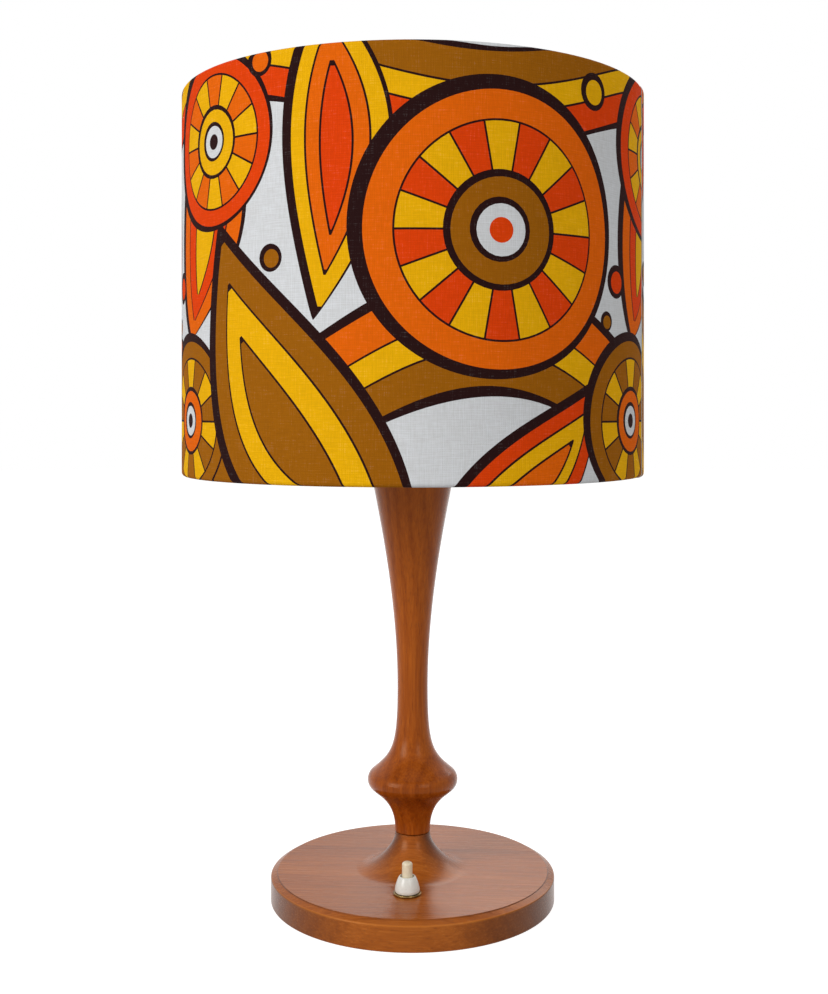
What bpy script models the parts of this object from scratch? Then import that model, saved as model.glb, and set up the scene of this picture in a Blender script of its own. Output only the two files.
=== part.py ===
# Teak table lamp: a turned base and stem, a push switch in the base, a lampholder
# with its bulb, and a cotton drum shade on a wire carrier.
# Metres, +Z up. The origin is the centre of the base on the table, and the switch
# is at the front, towards -Y.

import math

import bmesh
import bpy
from mathutils import Vector

# Fits that all pieces share
gap = 0.0003              # between two faces that touch
overrun = 0.003           # how far a cutter runs past what it opens
base_steps = 40           # facets round the base
stem_steps = 24           # facets round the stem
shade_steps = 40          # facets round the shade
fitting_steps = 16        # facets round the lampholder, the bulb and the nuts
small_steps = 12          # facets round small pieces
fine_steps = 8            # facets round screws and small holes
weld_distance = 0.00001   # points nearer than this become one

# Felt and the space above it
felt_thickness = 0.0020
foot_rise = 0.0008        # wood rim clear of the table
foot_rim = 0.0046         # width of the wood rim round the felt
foot_bevel = 0.0006

# Push switch: its housing sets how thick the base has to be
switch_forward = 0.0480   # from the lamp's axis to the switch's axis
housing_radius = 0.0105
housing_height = 0.0119
housing_wall = 0.0012
housing_floor_space = 0.0012
cover_thickness = 0.0012
cover_ledge = 0.0006
thread_radius = 0.0050    # M10 thread of the switch's neck
washer_radius = 0.0087
washer_thickness = 0.0010
collar_nut_radius = 0.0076
collar_nut_height = 0.0097
collar_nut_roof = 0.0027
collar_nut_lip = 0.0006
collar_crown_share = 0.75   # how far out the rounded top of the collar nut stays level
button_radius = 0.00325
button_clearance = 0.00035
button_stand = 0.0091     # above the collar nut
button_travel = 0.0035
button_edge = 0.0006
button_stop_radius = 0.0050
button_stop_height = 0.0012
press_clearance = 0.0006  # left under the button when it is pressed home
spring_radius = 0.00155   # to the middle of the wire
spring_wire_radius = 0.00022
spring_clearance = 0.00023
spring_turns = 6
spring_space_above_wood = 0.0076
spring_boss_height = 0.0020
rotor_reach = 0.0045
rotor_waist_share = 0.68
rotor_pin_radius = 0.0010
bridge_thickness = 0.0006
bridge_width = 0.0034
contact_clearance = 0.0004
contact_thickness = 0.0006
contact_width = 0.0030
contact_tab = 0.0052      # length outside the housing
terminal_hole_radius = 0.0011
screw_head_radius = 0.0019
screw_head_height = 0.0013
screw_shank_radius = 0.0008
screw_length = 0.0022

# Base
base_radius = 0.0929
switch_board = 0.0030     # wood left above the switch and above the tube's nut
recess_board = 0.0054     # wood left above the ballast
recess_radius = 0.0660
rim_drop = 0.0025         # arris of the rim below the flat top
band_width = 0.0043       # sloping band between the arris and the flat top
quirk = 0.0005            # small step inside the band
arris_round = 0.0010
collar_radius = 0.0115
collar_height = 0.0240
collar_round = 0.0005
cove_spread = 0.0260
cove_drop_share = 0.42    # how long the cove stays upright
cove_run_share = 0.42     # how long it stays level
switch_pocket_radius = 0.0120
nut_pocket_radius = 0.0140

# Ballast
ballast_space = 0.0044    # under the ballast, for screw heads and leads
ballast_clearance = 0.0030    # round the ballast in its recess
ballast_bore_radius = 0.0170
ballast_bevel = 0.0010
ballast_switch_radius = 0.0175
ballast_slot_width = 0.0240
ballast_screw_inset = 0.0180  # from the ballast's edge to its screws
ballast_screw_count = 3
wood_screw_radius = 0.0014
wood_screw_head_radius = 0.0032
wood_screw_head_height = 0.0020
wood_screw_bite = 0.0032

# Cord inlet
bush_radius = 0.0046
bush_bore_radius = 0.0035
bush_flange_radius = 0.0060
bush_flange = 0.0016
bush_bevel = 0.0004

# Stem
tenon_radius = 0.0080
tenon_length = 0.0180
tenon_bevel = 0.0008
knop_radius = 0.0296
knop_height = 0.0341      # above the foot of the stem
knop_round = 0.0074
knop_upper_angle = math.radians(50.5)
knop_lower_angle = math.radians(40)
knop_upper_ease = 0.0178
knop_lower_ease = 0.0064
neck_ease = 0.0196
waist_radius = 0.0100
waist_height = 0.0956
waist_lower_ease = 0.0400
waist_upper_ease = 0.0551
stem_length = 0.2406
stem_top_radius = 0.0281
stem_top_ease = 0.0334
stem_top_slope_share = 0.189
stem_top_round = 0.0015

# Threaded tube and its nuts
tube_radius = 0.0050
tube_bore_radius = 0.0041
tube_tail = 0.0006        # tube left showing beyond its nut
base_washer_radius = 0.0110
base_washer_thickness = 0.0012
base_nut_size = 0.0086    # centre to corner
base_nut_height = 0.0036
stem_cap_radius = 0.0190
stem_cap_thickness = 0.0020
stem_cap_round = 0.0008
top_nut_size = 0.0081
top_nut_height = 0.0040

# Lampholder
dome_radius = 0.0210
dome_height = 0.0190
dome_straight = 0.0070    # upright wall above the dome's bend
dome_wall = 0.0020
dome_boss_radius = 0.0085
dome_boss_height = 0.0035
dome_floor = 0.0030
dome_tube_stand = 0.0025  # tube above the dome's floor
body_flange_radius = 0.0235
body_flange_thickness = 0.0025
body_thread_radius = 0.0198
body_thread_length = 0.0165
body_nose_radius = 0.0184
body_height = 0.0360      # above the underside of the flange
body_skirt = 0.0050       # reach into the dome
body_bore_radius = 0.0160
body_lip = 0.0008
insert_radius = 0.0170
insert_height = 0.0100
insert_seat = 0.0091      # ledge above the underside of the flange
shell_radius = 0.0136     # inside the thread
shell_wall = 0.0005
shell_height = 0.0240
shell_floor_radius = 0.0080
terminal_reach = 0.0078   # from the axis to each terminal
terminal_width = 0.0052
terminal_height = 0.0050
terminal_screw_share = 0.55   # height of the clamping screw up the terminal
centre_strip_length = 0.0120
centre_strip_width = 0.0050
centre_strip_thickness = 0.0006
centre_strip_rise = 0.0020

# Bulb
bulb_tip_radius = 0.0046
bulb_tip_height = 0.0012
bulb_insulator_height = 0.0037
bulb_insulator_radius = 0.0090
bulb_cap_radius = 0.0131
bulb_cap_wall = 0.0004
bulb_cap_height = 0.0222
bulb_glass_wall = 0.0009
bulb_glass_inside_cap = 0.0110
bulb_glass_radius = 0.0300
bulb_glass_height = 0.0870
bulb_neck_ease_share = 0.34

# Shade
shade_radius = 0.1500
shade_height = 0.2450
fitter_above_edge = 0.0346
cotton_thickness = 0.0005
liner_thickness = 0.0005
hem_depth = 0.0080
seam_width = 0.0120
seam_thickness = 0.0004
seam_angle = math.radians(-11)   # from +X, so the seam stands at the right
ring_wire_radius = 0.00125
ring_sides = 5
arm_wire_radius = 0.0016
arm_count = 3
arm_level_run = 0.0120
hem_notch_width = 0.0062
hem_notch_drop = 0.0024   # below the middle of the lower ring
fitter_radius = 0.0295
fitter_thickness = 0.0015
clamp_radius = 0.0268
clamp_height = 0.0060
clamp_scallop = 0.0007
clamp_scallops = 12

# Terminal block
block_pitch = 0.0100
block_barrel_radius = 0.0037
block_length = 0.0160
block_height = 0.0094
block_clearance = 0.0115  # from the recess wall to the block
block_insert_radius = 0.0024
block_insert_bore = 0.0014
block_insert_length = 0.0110
block_turret_radius = 0.0028
block_screw_offset = 0.0033   # along the block from its middle to each clamping screw
block_fixing_head_radius = 0.0016
block_web_angle = math.radians(30)   # where the barrels run into the web between them

# Leads
lead_radius = 0.0011
lead_steps = 3            # points on each stretch of a lead

# Heights, worked out from the table up
felt_top = felt_thickness
rebate_z = felt_top + gap
housing_floor = felt_top + housing_floor_space
pocket_z = housing_floor + housing_height + gap
base_top = pocket_z + switch_board
recess_z = base_top - recess_board
arris_z = base_top - rim_drop
collar_top = base_top + collar_height
stem_foot = collar_top + gap
tenon_foot = stem_foot - tenon_length
mortise_floor = tenon_foot - gap
stem_top = stem_foot + stem_length
tube_hole_radius = tube_radius + gap
cap_z = stem_top + gap
top_nut_z = cap_z + stem_cap_thickness + gap
dome_z = top_nut_z + top_nut_height + gap
body_z = dome_z + dome_height + gap
fitter_z = body_z + body_flange_thickness + gap
clamp_z = fitter_z + fitter_thickness + gap
insert_top = body_z + insert_seat - gap
shell_z = insert_top + gap
tip_z = insert_top + gap + centre_strip_thickness + centre_strip_rise + gap
insulator_z = tip_z + bulb_tip_height + gap
bulb_cap_z = insulator_z + bulb_insulator_height + gap
bulb_cap_top = bulb_cap_z + bulb_cap_height
glass_z = bulb_cap_top - bulb_glass_inside_cap
shade_bottom = fitter_z - fitter_above_edge
shade_top = shade_bottom + shade_height
base_washer_z = pocket_z - gap - base_washer_thickness
base_nut_z = base_washer_z - gap - base_nut_height
tube_foot = base_nut_z - tube_tail
tube_top = dome_z + dome_floor + dome_tube_stand
ballast_foot = felt_top + ballast_space + gap

# Places across the recess, worked out from its wall inwards
ballast_radius = recess_radius - ballast_clearance
ballast_screw_circle = ballast_radius - ballast_screw_inset
block_back = recess_radius - block_clearance - block_length / 2

# Clear the scene and make the collections
for old in list(bpy.data.objects):
    bpy.data.objects.remove(old, do_unlink=True)
lamp = bpy.data.collections.new("teak_table_lamp")
guides = bpy.data.collections.new("cutters")
for collection in (lamp, guides):
    bpy.context.scene.collection.children.link(collection)


# Finishes
def finish(name, colour, roughness, metallic=0.0):
    material = bpy.data.materials.new(name)
    material.use_nodes = True
    shader = material.node_tree.nodes["Principled BSDF"]
    shader.inputs["Base Color"].default_value = (*colour, 1.0)
    shader.inputs["Roughness"].default_value = roughness
    shader.inputs["Metallic"].default_value = metallic
    material.diffuse_color = (*colour, 1.0)
    return material


def piece_finish(node, look):
    colour, roughness, metallic = look
    return finish(node + "_finish", colour, roughness, metallic)


teak = ((0.36, 0.13, 0.045), 0.38, 0.0)
felt = ((0.06, 0.10, 0.07), 0.95, 0.0)
iron = ((0.10, 0.10, 0.11), 0.6, 0.6)
steel = ((0.55, 0.55, 0.56), 0.35, 1.0)
brass = ((0.75, 0.55, 0.22), 0.28, 1.0)
white_plastic = ((0.82, 0.81, 0.76), 0.3, 0.0)
cream_plastic = ((0.80, 0.70, 0.48), 0.3, 0.0)
brown_plastic = ((0.10, 0.05, 0.03), 0.35, 0.0)
porcelain = ((0.85, 0.84, 0.80), 0.2, 0.0)
cotton = ((0.85, 0.45, 0.12), 0.9, 0.0)
liner_white = ((0.85, 0.84, 0.80), 0.5, 0.0)
white_enamel = ((0.80, 0.80, 0.78), 0.4, 0.0)
opal = ((0.90, 0.90, 0.88), 0.2, 0.0)
black_glass = ((0.02, 0.02, 0.02), 0.15, 0.0)
brown_lead = ((0.16, 0.06, 0.03), 0.45, 0.0)
blue_lead = ((0.03, 0.09, 0.30), 0.45, 0.0)


# Points of outlines
def bezier(start, leave, arrive, end, count):
    # Points along a cubic curve after its start, so that stretches can follow one another
    points = []
    for step in range(1, count + 1):
        t = step / count
        shares = ((1 - t) ** 3, 3 * (1 - t) ** 2 * t, 3 * (1 - t) * t ** 2, t ** 3)
        corners = (start, leave, arrive, end)
        points.append(tuple(sum(share * corner[axis] for share, corner in zip(shares, corners))
                            for axis in range(len(start))))
    return points


def arc(centre, radius, from_angle, to_angle, count):
    # Points along an arc with both its ends
    angles = [from_angle + (to_angle - from_angle) * step / count for step in range(count + 1)]
    return [(centre[0] + radius * math.cos(a), centre[1] + radius * math.sin(a)) for a in angles]


def circle(radius, count, centre=(0, 0)):
    return [(centre[0] + radius * math.cos(math.tau * step / count),
             centre[1] + radius * math.sin(math.tau * step / count)) for step in range(count)]


# Making of solids
def place(name, data, look, at=(0, 0, 0), turn=(0, 0, 0)):
    item = bpy.data.objects.new(name, data)
    item.location = at
    item.rotation_euler = turn
    if look is None:
        guides.objects.link(item)
        item.hide_render = True
        item.display_type = "WIRE"
    else:
        lamp.objects.link(item)
        data.materials.append(piece_finish(name, look))
    return item


def turned(name, outline, look, steps, at=(0, 0, 0), turn=(0, 0, 0)):
    # A profile in X and Z swept round Z. It closes on itself unless it ends on the axis.
    mesh = bpy.data.meshes.new(name)
    edges = [(i, i + 1) for i in range(len(outline) - 1)]
    if outline[0][0] > 0:
        edges.append((len(outline) - 1, 0))
    mesh.from_pydata([(x, 0, z) for x, z in outline], edges, [])
    item = place(name, mesh, look, at, turn)
    sweep = item.modifiers.new("Turning", "SCREW")
    sweep.axis = "Z"
    sweep.angle = math.tau
    sweep.steps = steps
    sweep.render_steps = steps
    sweep.use_merge_vertices = True
    sweep.merge_threshold = weld_distance
    sweep.use_smooth_shade = True
    return item


def cylinder(name, radius, foot, head, look, steps, at=(0, 0, 0), turn=(0, 0, 0)):
    # A round bar along Z between the heights foot and head
    mesh = bpy.data.meshes.new(name)
    build = bmesh.new()
    bmesh.ops.create_cone(build, cap_ends=True, segments=steps, radius1=radius, radius2=radius,
                          depth=head - foot)
    bmesh.ops.translate(build, verts=build.verts, vec=(0, 0, (foot + head) / 2))
    build.to_mesh(mesh)
    build.free()
    mesh.shade_smooth()
    mesh.set_sharp_from_angle(angle=math.radians(40))
    return place(name, mesh, look, at, turn)


def box(name, low, high, look):
    # A block between two corners
    mesh = bpy.data.meshes.new(name)
    build = bmesh.new()
    bmesh.ops.create_cube(build, size=1.0)
    size = [b - a for a, b in zip(low, high)]
    middle = [(a + b) / 2 for a, b in zip(low, high)]
    bmesh.ops.scale(build, verts=build.verts, vec=size)
    bmesh.ops.translate(build, verts=build.verts, vec=middle)
    build.to_mesh(mesh)
    build.free()
    return place(name, mesh, look)


def plate(name, outlines, thickness, look, at=(0, 0, 0), turn=(0, 0, 0)):
    # Flat outlines in X and Y, the later ones holes, thickened along Z about their own plane
    curve = bpy.data.curves.new(name, "CURVE")
    curve.dimensions = "2D"
    curve.fill_mode = "BOTH"
    curve.extrude = thickness / 2
    for outline in outlines:
        spline = curve.splines.new("POLY")
        spline.points.add(len(outline) - 1)
        for point, (x, y) in zip(spline.points, outline):
            point.co = (x, y, 0, 1)
        spline.use_cyclic_u = True
    return place(name, curve, look, at, turn)


def rod(name, points, radius, look, resolution=2):
    # A round wire along a route, its ends capped
    curve = bpy.data.curves.new(name, "CURVE")
    curve.dimensions = "3D"
    curve.bevel_depth = radius
    curve.bevel_resolution = resolution
    curve.use_fill_caps = True
    spline = curve.splines.new("POLY")
    spline.points.add(len(points) - 1)
    for point, co in zip(spline.points, points):
        point.co = (*co, 1)
    return place(name, curve, look)


def as_mesh(item):
    # A curve made a welded mesh, so that it can be cut or joined
    bpy.context.view_layer.update()
    name, curve, home = item.name, item.data, item.users_collection[0]
    evaluated = item.evaluated_get(bpy.context.evaluated_depsgraph_get())
    mesh = bpy.data.meshes.new_from_object(evaluated)
    build = bmesh.new()
    build.from_mesh(mesh)
    bmesh.ops.remove_doubles(build, verts=build.verts, dist=weld_distance)
    build.to_mesh(mesh)
    build.free()
    matrix = item.matrix_world.copy()
    wire = item.display_type == "WIRE"
    bpy.data.objects.remove(item, do_unlink=True)
    bpy.data.curves.remove(curve)
    solid = bpy.data.objects.new(name, mesh)
    solid.matrix_world = matrix
    home.objects.link(solid)
    if wire:
        solid.hide_render = True
        solid.display_type = "WIRE"
    return solid


def combine(item, tool, operation):
    change = item.modifiers.new(tool.name, "BOOLEAN")
    change.operation = operation
    change.solver = "EXACT"
    change.object = tool
    return item


def cut(item, tool):
    return combine(item, tool, "DIFFERENCE")


def join(item, tool):
    return combine(item, tool, "UNION")


def smooth_route(stops):
    # A smooth curve through the stops: each stretch is a cubic whose handles follow the
    # direction halfway between its neighbours and stay shorter than the shorter stretch
    stops = [Vector(stop) for stop in stops]
    handles = []
    for i, stop in enumerate(stops):
        before = stop - stops[i - 1] if i > 0 else stops[1] - stop
        after = stops[i + 1] - stop if i < len(stops) - 1 else before
        direction = (before.normalized() + after.normalized()).normalized()
        handles.append(direction * min(before.length, after.length) / 3)
    points = [tuple(stops[0])]
    for i in range(len(stops) - 1):
        points += bezier(tuple(stops[i]), tuple(stops[i] + handles[i]),
                         tuple(stops[i + 1] - handles[i + 1]), tuple(stops[i + 1]), lead_steps)
    return points


def screw(name, head_radius, head_height, shank_radius, shank_length, at, turn=(0, 0, 0)):
    # A round-headed screw, its head's underside at its origin and its shank upwards
    outline = [(0, shank_length), (shank_radius, shank_length), (shank_radius, 0), (head_radius, 0),
               (head_radius, -head_height / 2), (head_radius - head_height / 2, -head_height),
               (0, -head_height)]
    return turned(name, outline, steel, fine_steps, at, turn)


def hex_nut(name, size, height, foot, bore):
    nut = cylinder(name, size, foot, foot + height, steel, 6)
    hole = cylinder(name + "_bore", bore, foot - overrun, foot + height + overrun, None, small_steps)
    return cut(nut, hole)


# Turned base with its collar, mortise, recess and pockets
def base_disc():
    rebate_radius = base_radius - foot_rim
    band_radius = base_radius - band_width
    cove_foot = collar_radius + cove_spread
    outline = [(tenon_radius + gap, collar_top), (collar_radius - collar_round, collar_top),
               (collar_radius, collar_top - collar_round)]
    cove_start = (collar_radius, collar_top - collar_round)
    outline += bezier(cove_start, (collar_radius, collar_top - collar_height * cove_drop_share),
                      (cove_foot - cove_spread * cove_run_share, base_top), (cove_foot, base_top), 6)
    outline += [(band_radius, base_top), (band_radius, base_top - quirk)]
    outline += [(base_radius - arris_round, arris_z + arris_round / 2),
                (base_radius, arris_z - arris_round / 2)]
    outline += [(base_radius, foot_rise + foot_bevel), (base_radius - foot_bevel, foot_rise),
                (rebate_radius, foot_rise), (rebate_radius, rebate_z), (recess_radius, rebate_z),
                (recess_radius, recess_z), (nut_pocket_radius, recess_z), (nut_pocket_radius, pocket_z),
                (tube_hole_radius, pocket_z), (tube_hole_radius, mortise_floor),
                (tenon_radius + gap, mortise_floor)]
    disc = turned("base_disc", outline, teak, base_steps)
    at_switch = (0, -switch_forward, 0)
    pocket = cylinder("switch_pocket", switch_pocket_radius, rebate_z, pocket_z, None,
                      fitting_steps, at_switch)
    neck_hole = cylinder("switch_neck_hole", thread_radius + gap, pocket_z - overrun / 2,
                         base_top + overrun, None, small_steps, at_switch)
    cut(disc, pocket)
    cut(disc, neck_hole)
    inlet = cylinder("inlet_hole", bush_radius + gap, -base_radius - overrun,
                     -recess_radius + overrun, None, small_steps, (0, 0, inlet_z()),
                     (math.radians(90), 0, 0))
    cut(disc, inlet)
    for number, (x, y) in enumerate(ballast_screw_places() + [block_screw_place()], 1):
        pilot = cylinder(f"pilot_{number}", wood_screw_radius + gap, recess_z - overrun,
                         recess_z + wood_screw_bite + gap, None, fine_steps, (x, y, 0))
        cut(disc, pilot)


def inlet_z():
    return (rebate_z + arris_z) / 2


def ballast_screw_places():
    angles = [math.tau * i / ballast_screw_count for i in range(ballast_screw_count)]
    return [(ballast_screw_circle * math.cos(a), ballast_screw_circle * math.sin(a)) for a in angles]


def block_screw_place():
    return (0, block_back)


def felt_pad():
    felt_radius = base_radius - foot_rim - gap
    outline = [(0, felt_top), (felt_radius, felt_top), (felt_radius, 0), (0, 0)]
    turned("felt_pad", outline, felt, base_steps)


# Iron ballast with room for the switch and a slot for the leads, and its wood screws
def ballast():
    top = recess_z - gap
    outline = [(ballast_bore_radius, top), (ballast_radius, top),
               (ballast_radius, ballast_foot + ballast_bevel),
               (ballast_radius - ballast_bevel, ballast_foot), (ballast_bore_radius, ballast_foot)]
    weight = turned("ballast_plate", outline, iron, base_steps)
    switch_room = cylinder("ballast_switch_room", ballast_switch_radius, ballast_foot - overrun,
                           top + overrun, None, fitting_steps, (0, -switch_forward, 0))
    slot = box("ballast_slot", (-ballast_slot_width / 2, 0, ballast_foot - overrun),
               (ballast_slot_width / 2, ballast_radius + overrun, top + overrun), None)
    cut(weight, switch_room)
    cut(weight, slot)
    head_z = ballast_foot - gap
    length = top + gap + wood_screw_bite - head_z
    for number, (x, y) in enumerate(ballast_screw_places(), 1):
        hole = cylinder(f"ballast_hole_{number}", wood_screw_radius + gap, ballast_foot - overrun,
                        top + overrun, None, fine_steps, (x, y, 0))
        cut(weight, hole)
        screw(f"ballast_screw_{number}", wood_screw_head_radius, wood_screw_head_height,
              wood_screw_radius, length, (x, y, head_z))


# Bush in the cord inlet at the back of the rim
def cable_bush():
    outer = base_radius + gap + bush_flange
    seat = base_radius + gap
    inner = recess_radius
    outline = [(bush_bore_radius, outer), (bush_flange_radius - bush_bevel, outer),
               (bush_flange_radius, outer - bush_bevel), (bush_flange_radius, seat), (bush_radius, seat),
               (bush_radius, inner), (bush_bore_radius, inner)]
    turned("cable_bush", outline, brown_plastic, small_steps, (0, 0, inlet_z()),
           (math.radians(-90), 0, 0))


# Turned stem: a tenon, the neck, the knop, the waist and the flare under the shade
def stem():
    foot = stem_foot
    knop_z = foot + knop_height
    waist_z = foot + waist_height
    nose = (knop_radius - knop_round, knop_z)
    top_point = (stem_top_radius, stem_top - stem_top_round)
    outline = [(tube_hole_radius, stem_top), (stem_top_radius - stem_top_round, stem_top), top_point]
    top_leave = (stem_top_radius - stem_top_slope_share * stem_top_ease, stem_top - stem_top_ease)
    outline += bezier(top_point, top_leave, (waist_radius, waist_z + waist_upper_ease),
                      (waist_radius, waist_z), 6)
    nose_points = arc(nose, knop_round, knop_upper_angle, -knop_lower_angle, 5)
    upper, lower = nose_points[0], nose_points[-1]
    upper_leave = (upper[0] - math.sin(knop_upper_angle) * knop_upper_ease,
                   upper[1] + math.cos(knop_upper_angle) * knop_upper_ease)
    outline += bezier((waist_radius, waist_z), (waist_radius, waist_z - waist_lower_ease),
                      upper_leave, upper, 7)
    outline += nose_points[1:]
    lower_leave = (lower[0] - math.sin(knop_lower_angle) * knop_lower_ease,
                   lower[1] - math.cos(knop_lower_angle) * knop_lower_ease)
    neck_foot = (collar_radius, foot + collar_round)
    outline += bezier(lower, lower_leave, (collar_radius, neck_foot[1] + neck_ease), neck_foot, 5)
    outline += [(collar_radius - collar_round, foot), (tenon_radius, foot),
                (tenon_radius, tenon_foot + tenon_bevel), (tenon_radius - tenon_bevel, tenon_foot),
                (tube_hole_radius, tenon_foot)]
    turned("stem", outline, teak, stem_steps)


# Threaded tube and what it clamps
def tube_and_nuts():
    outline = [(tube_bore_radius, tube_top), (tube_radius, tube_top), (tube_radius, tube_foot),
               (tube_bore_radius, tube_foot)]
    turned("threaded_tube", outline, steel, small_steps)
    washer = [(tube_hole_radius, base_washer_z + base_washer_thickness),
              (base_washer_radius, base_washer_z + base_washer_thickness),
              (base_washer_radius, base_washer_z), (tube_hole_radius, base_washer_z)]
    turned("base_washer", washer, steel, fitting_steps)
    hex_nut("base_nut", base_nut_size, base_nut_height, base_nut_z, tube_hole_radius)
    top = cap_z + stem_cap_thickness
    cap = [(tube_hole_radius, top), (stem_cap_radius - stem_cap_round, top),
           (stem_cap_radius, top - stem_cap_round), (stem_cap_radius, cap_z), (tube_hole_radius, cap_z)]
    turned("stem_cap", cap, brass, fitting_steps)
    hex_nut("top_nut", top_nut_size, top_nut_height, top_nut_z, tube_hole_radius)


# Lampholder: dome, body, porcelain insert, screw shell, centre contact and terminals
def lampholder():
    top = dome_z + dome_height
    boss_top = dome_z + dome_boss_height
    shoulder = (dome_boss_radius, boss_top)
    wall_foot = top - dome_straight
    bend_z = (wall_foot + boss_top) / 2
    outer = [(dome_radius, top), (dome_radius, wall_foot)]
    outer += bezier(outer[-1], (dome_radius, bend_z), (dome_radius, boss_top), shoulder, 4)
    inner_floor = dome_z + dome_floor
    inside = [(tube_hole_radius, inner_floor), (dome_boss_radius - dome_wall, inner_floor)]
    inner_radius = dome_radius - dome_wall
    inside += bezier(inside[-1], (dome_boss_radius - dome_wall, boss_top + dome_wall),
                     (inner_radius, bend_z), (inner_radius, wall_foot), 3)
    inside.append((inner_radius, top))
    outline = outer + [(dome_boss_radius, dome_z), (tube_hole_radius, dome_z)] + inside
    turned("holder_dome", outline, white_plastic, fitting_steps)

    flange_top = body_z + body_flange_thickness
    thread_top = flange_top + body_thread_length
    body_top = body_z + body_height
    ledge = body_z + insert_seat
    skirt_radius = inner_radius - gap
    outline = [(body_bore_radius, body_top), (body_nose_radius - body_lip, body_top),
               (body_nose_radius, body_top - body_lip), (body_nose_radius, thread_top),
               (body_thread_radius, thread_top), (body_thread_radius, flange_top),
               (body_flange_radius, flange_top), (body_flange_radius, body_z), (skirt_radius, body_z),
               (skirt_radius, body_z - body_skirt), (insert_radius + gap, body_z - body_skirt),
               (insert_radius + gap, ledge), (body_bore_radius, ledge)]
    turned("holder_body", outline, white_plastic, fitting_steps)

    insert_foot = insert_top - insert_height
    cylinder("holder_insert", insert_radius, insert_foot, insert_top, porcelain, fitting_steps)
    shell_top = shell_z + shell_height
    outline = [(shell_radius, shell_top), (shell_radius + shell_wall, shell_top),
               (shell_radius + shell_wall, shell_z), (shell_floor_radius, shell_z),
               (shell_floor_radius, shell_z + shell_wall), (shell_radius, shell_z + shell_wall)]
    turned("holder_shell", outline, brass, fitting_steps)

    half = centre_strip_length / 2
    low, high = 0, centre_strip_rise
    lift = [(half, low), (half / 2, low), (half / 4, high),
            (-half / 4, high), (-half / 2, low), (-half, low)]
    strip = [(x, z + centre_strip_thickness) for x, z in lift] + [(x, z) for x, z in reversed(lift)]
    plate("holder_contact", [strip], centre_strip_width, brass, (0, 0, shell_z), (math.radians(90), 0, 0))

    terminal_top = insert_foot - gap
    terminal_foot = terminal_top - terminal_height
    screw_z = terminal_foot + terminal_height * terminal_screw_share
    for number, side in enumerate((-1, 1), 1):
        middle = side * terminal_reach
        block = box(f"holder_terminal_{number}",
                    (middle - terminal_width / 2, -terminal_width / 2, terminal_foot),
                    (middle + terminal_width / 2, terminal_width / 2, terminal_top), brass)
        bore = cylinder(f"holder_terminal_bore_{number}", lead_radius + gap, terminal_foot - overrun,
                        terminal_foot + terminal_height / 2, None, fine_steps, (middle, 0, 0))
        cut(block, bore)
        screw_hole = cylinder(f"holder_screw_hole_{number}", screw_shank_radius + gap, 0,
                              terminal_width / 2 + overrun, None, fine_steps,
                              (middle, 0, screw_z), (math.radians(90), 0, 0))
        cut(block, screw_hole)
        head = (middle, -terminal_width / 2 - gap, screw_z)
        screw(f"holder_terminal_screw_{number}", screw_head_radius, screw_head_height,
              screw_shank_radius, terminal_width / 2, head, (math.radians(-90), 0, 0))


# Bulb: opal glass, screw cap, black insulator and tip
def bulb():
    cylinder("bulb_contact", bulb_tip_radius, tip_z, tip_z + bulb_tip_height, steel, small_steps)
    top = insulator_z + bulb_insulator_height
    inside = bulb_cap_radius - bulb_cap_wall
    outline = [(0, top), (inside - gap, top), (bulb_insulator_radius, insulator_z), (0, insulator_z)]
    turned("bulb_insulator", outline, black_glass, fitting_steps)
    outline = [(inside, bulb_cap_top), (bulb_cap_radius, bulb_cap_top), (bulb_cap_radius, bulb_cap_z),
               (bulb_insulator_radius, bulb_cap_z), (bulb_insulator_radius, bulb_cap_z + bulb_cap_wall),
               (inside, bulb_cap_z + bulb_cap_wall)]
    turned("bulb_cap", outline, brass, fitting_steps)

    neck = inside - gap
    crown = glass_z + bulb_glass_height
    globe = (0, crown - bulb_glass_radius)
    ease = (crown - bulb_glass_radius - bulb_cap_top) * bulb_neck_ease_share * 2

    def skin(inset):
        # One face of the glass from the crown down to the neck
        dome = arc(globe, bulb_glass_radius - inset, math.radians(90), 0, 5)
        dome[0] = (0, dome[0][1])
        rest = bezier(dome[-1], (dome[-1][0], globe[1] - ease), (neck - inset, bulb_cap_top + ease),
                      (neck - inset, bulb_cap_top), 5)
        return dome + rest + [(neck - inset, glass_z)]

    outline = skin(0) + list(reversed(skin(bulb_glass_wall)))
    turned("bulb_glass", outline, opal, fitting_steps)


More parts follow.
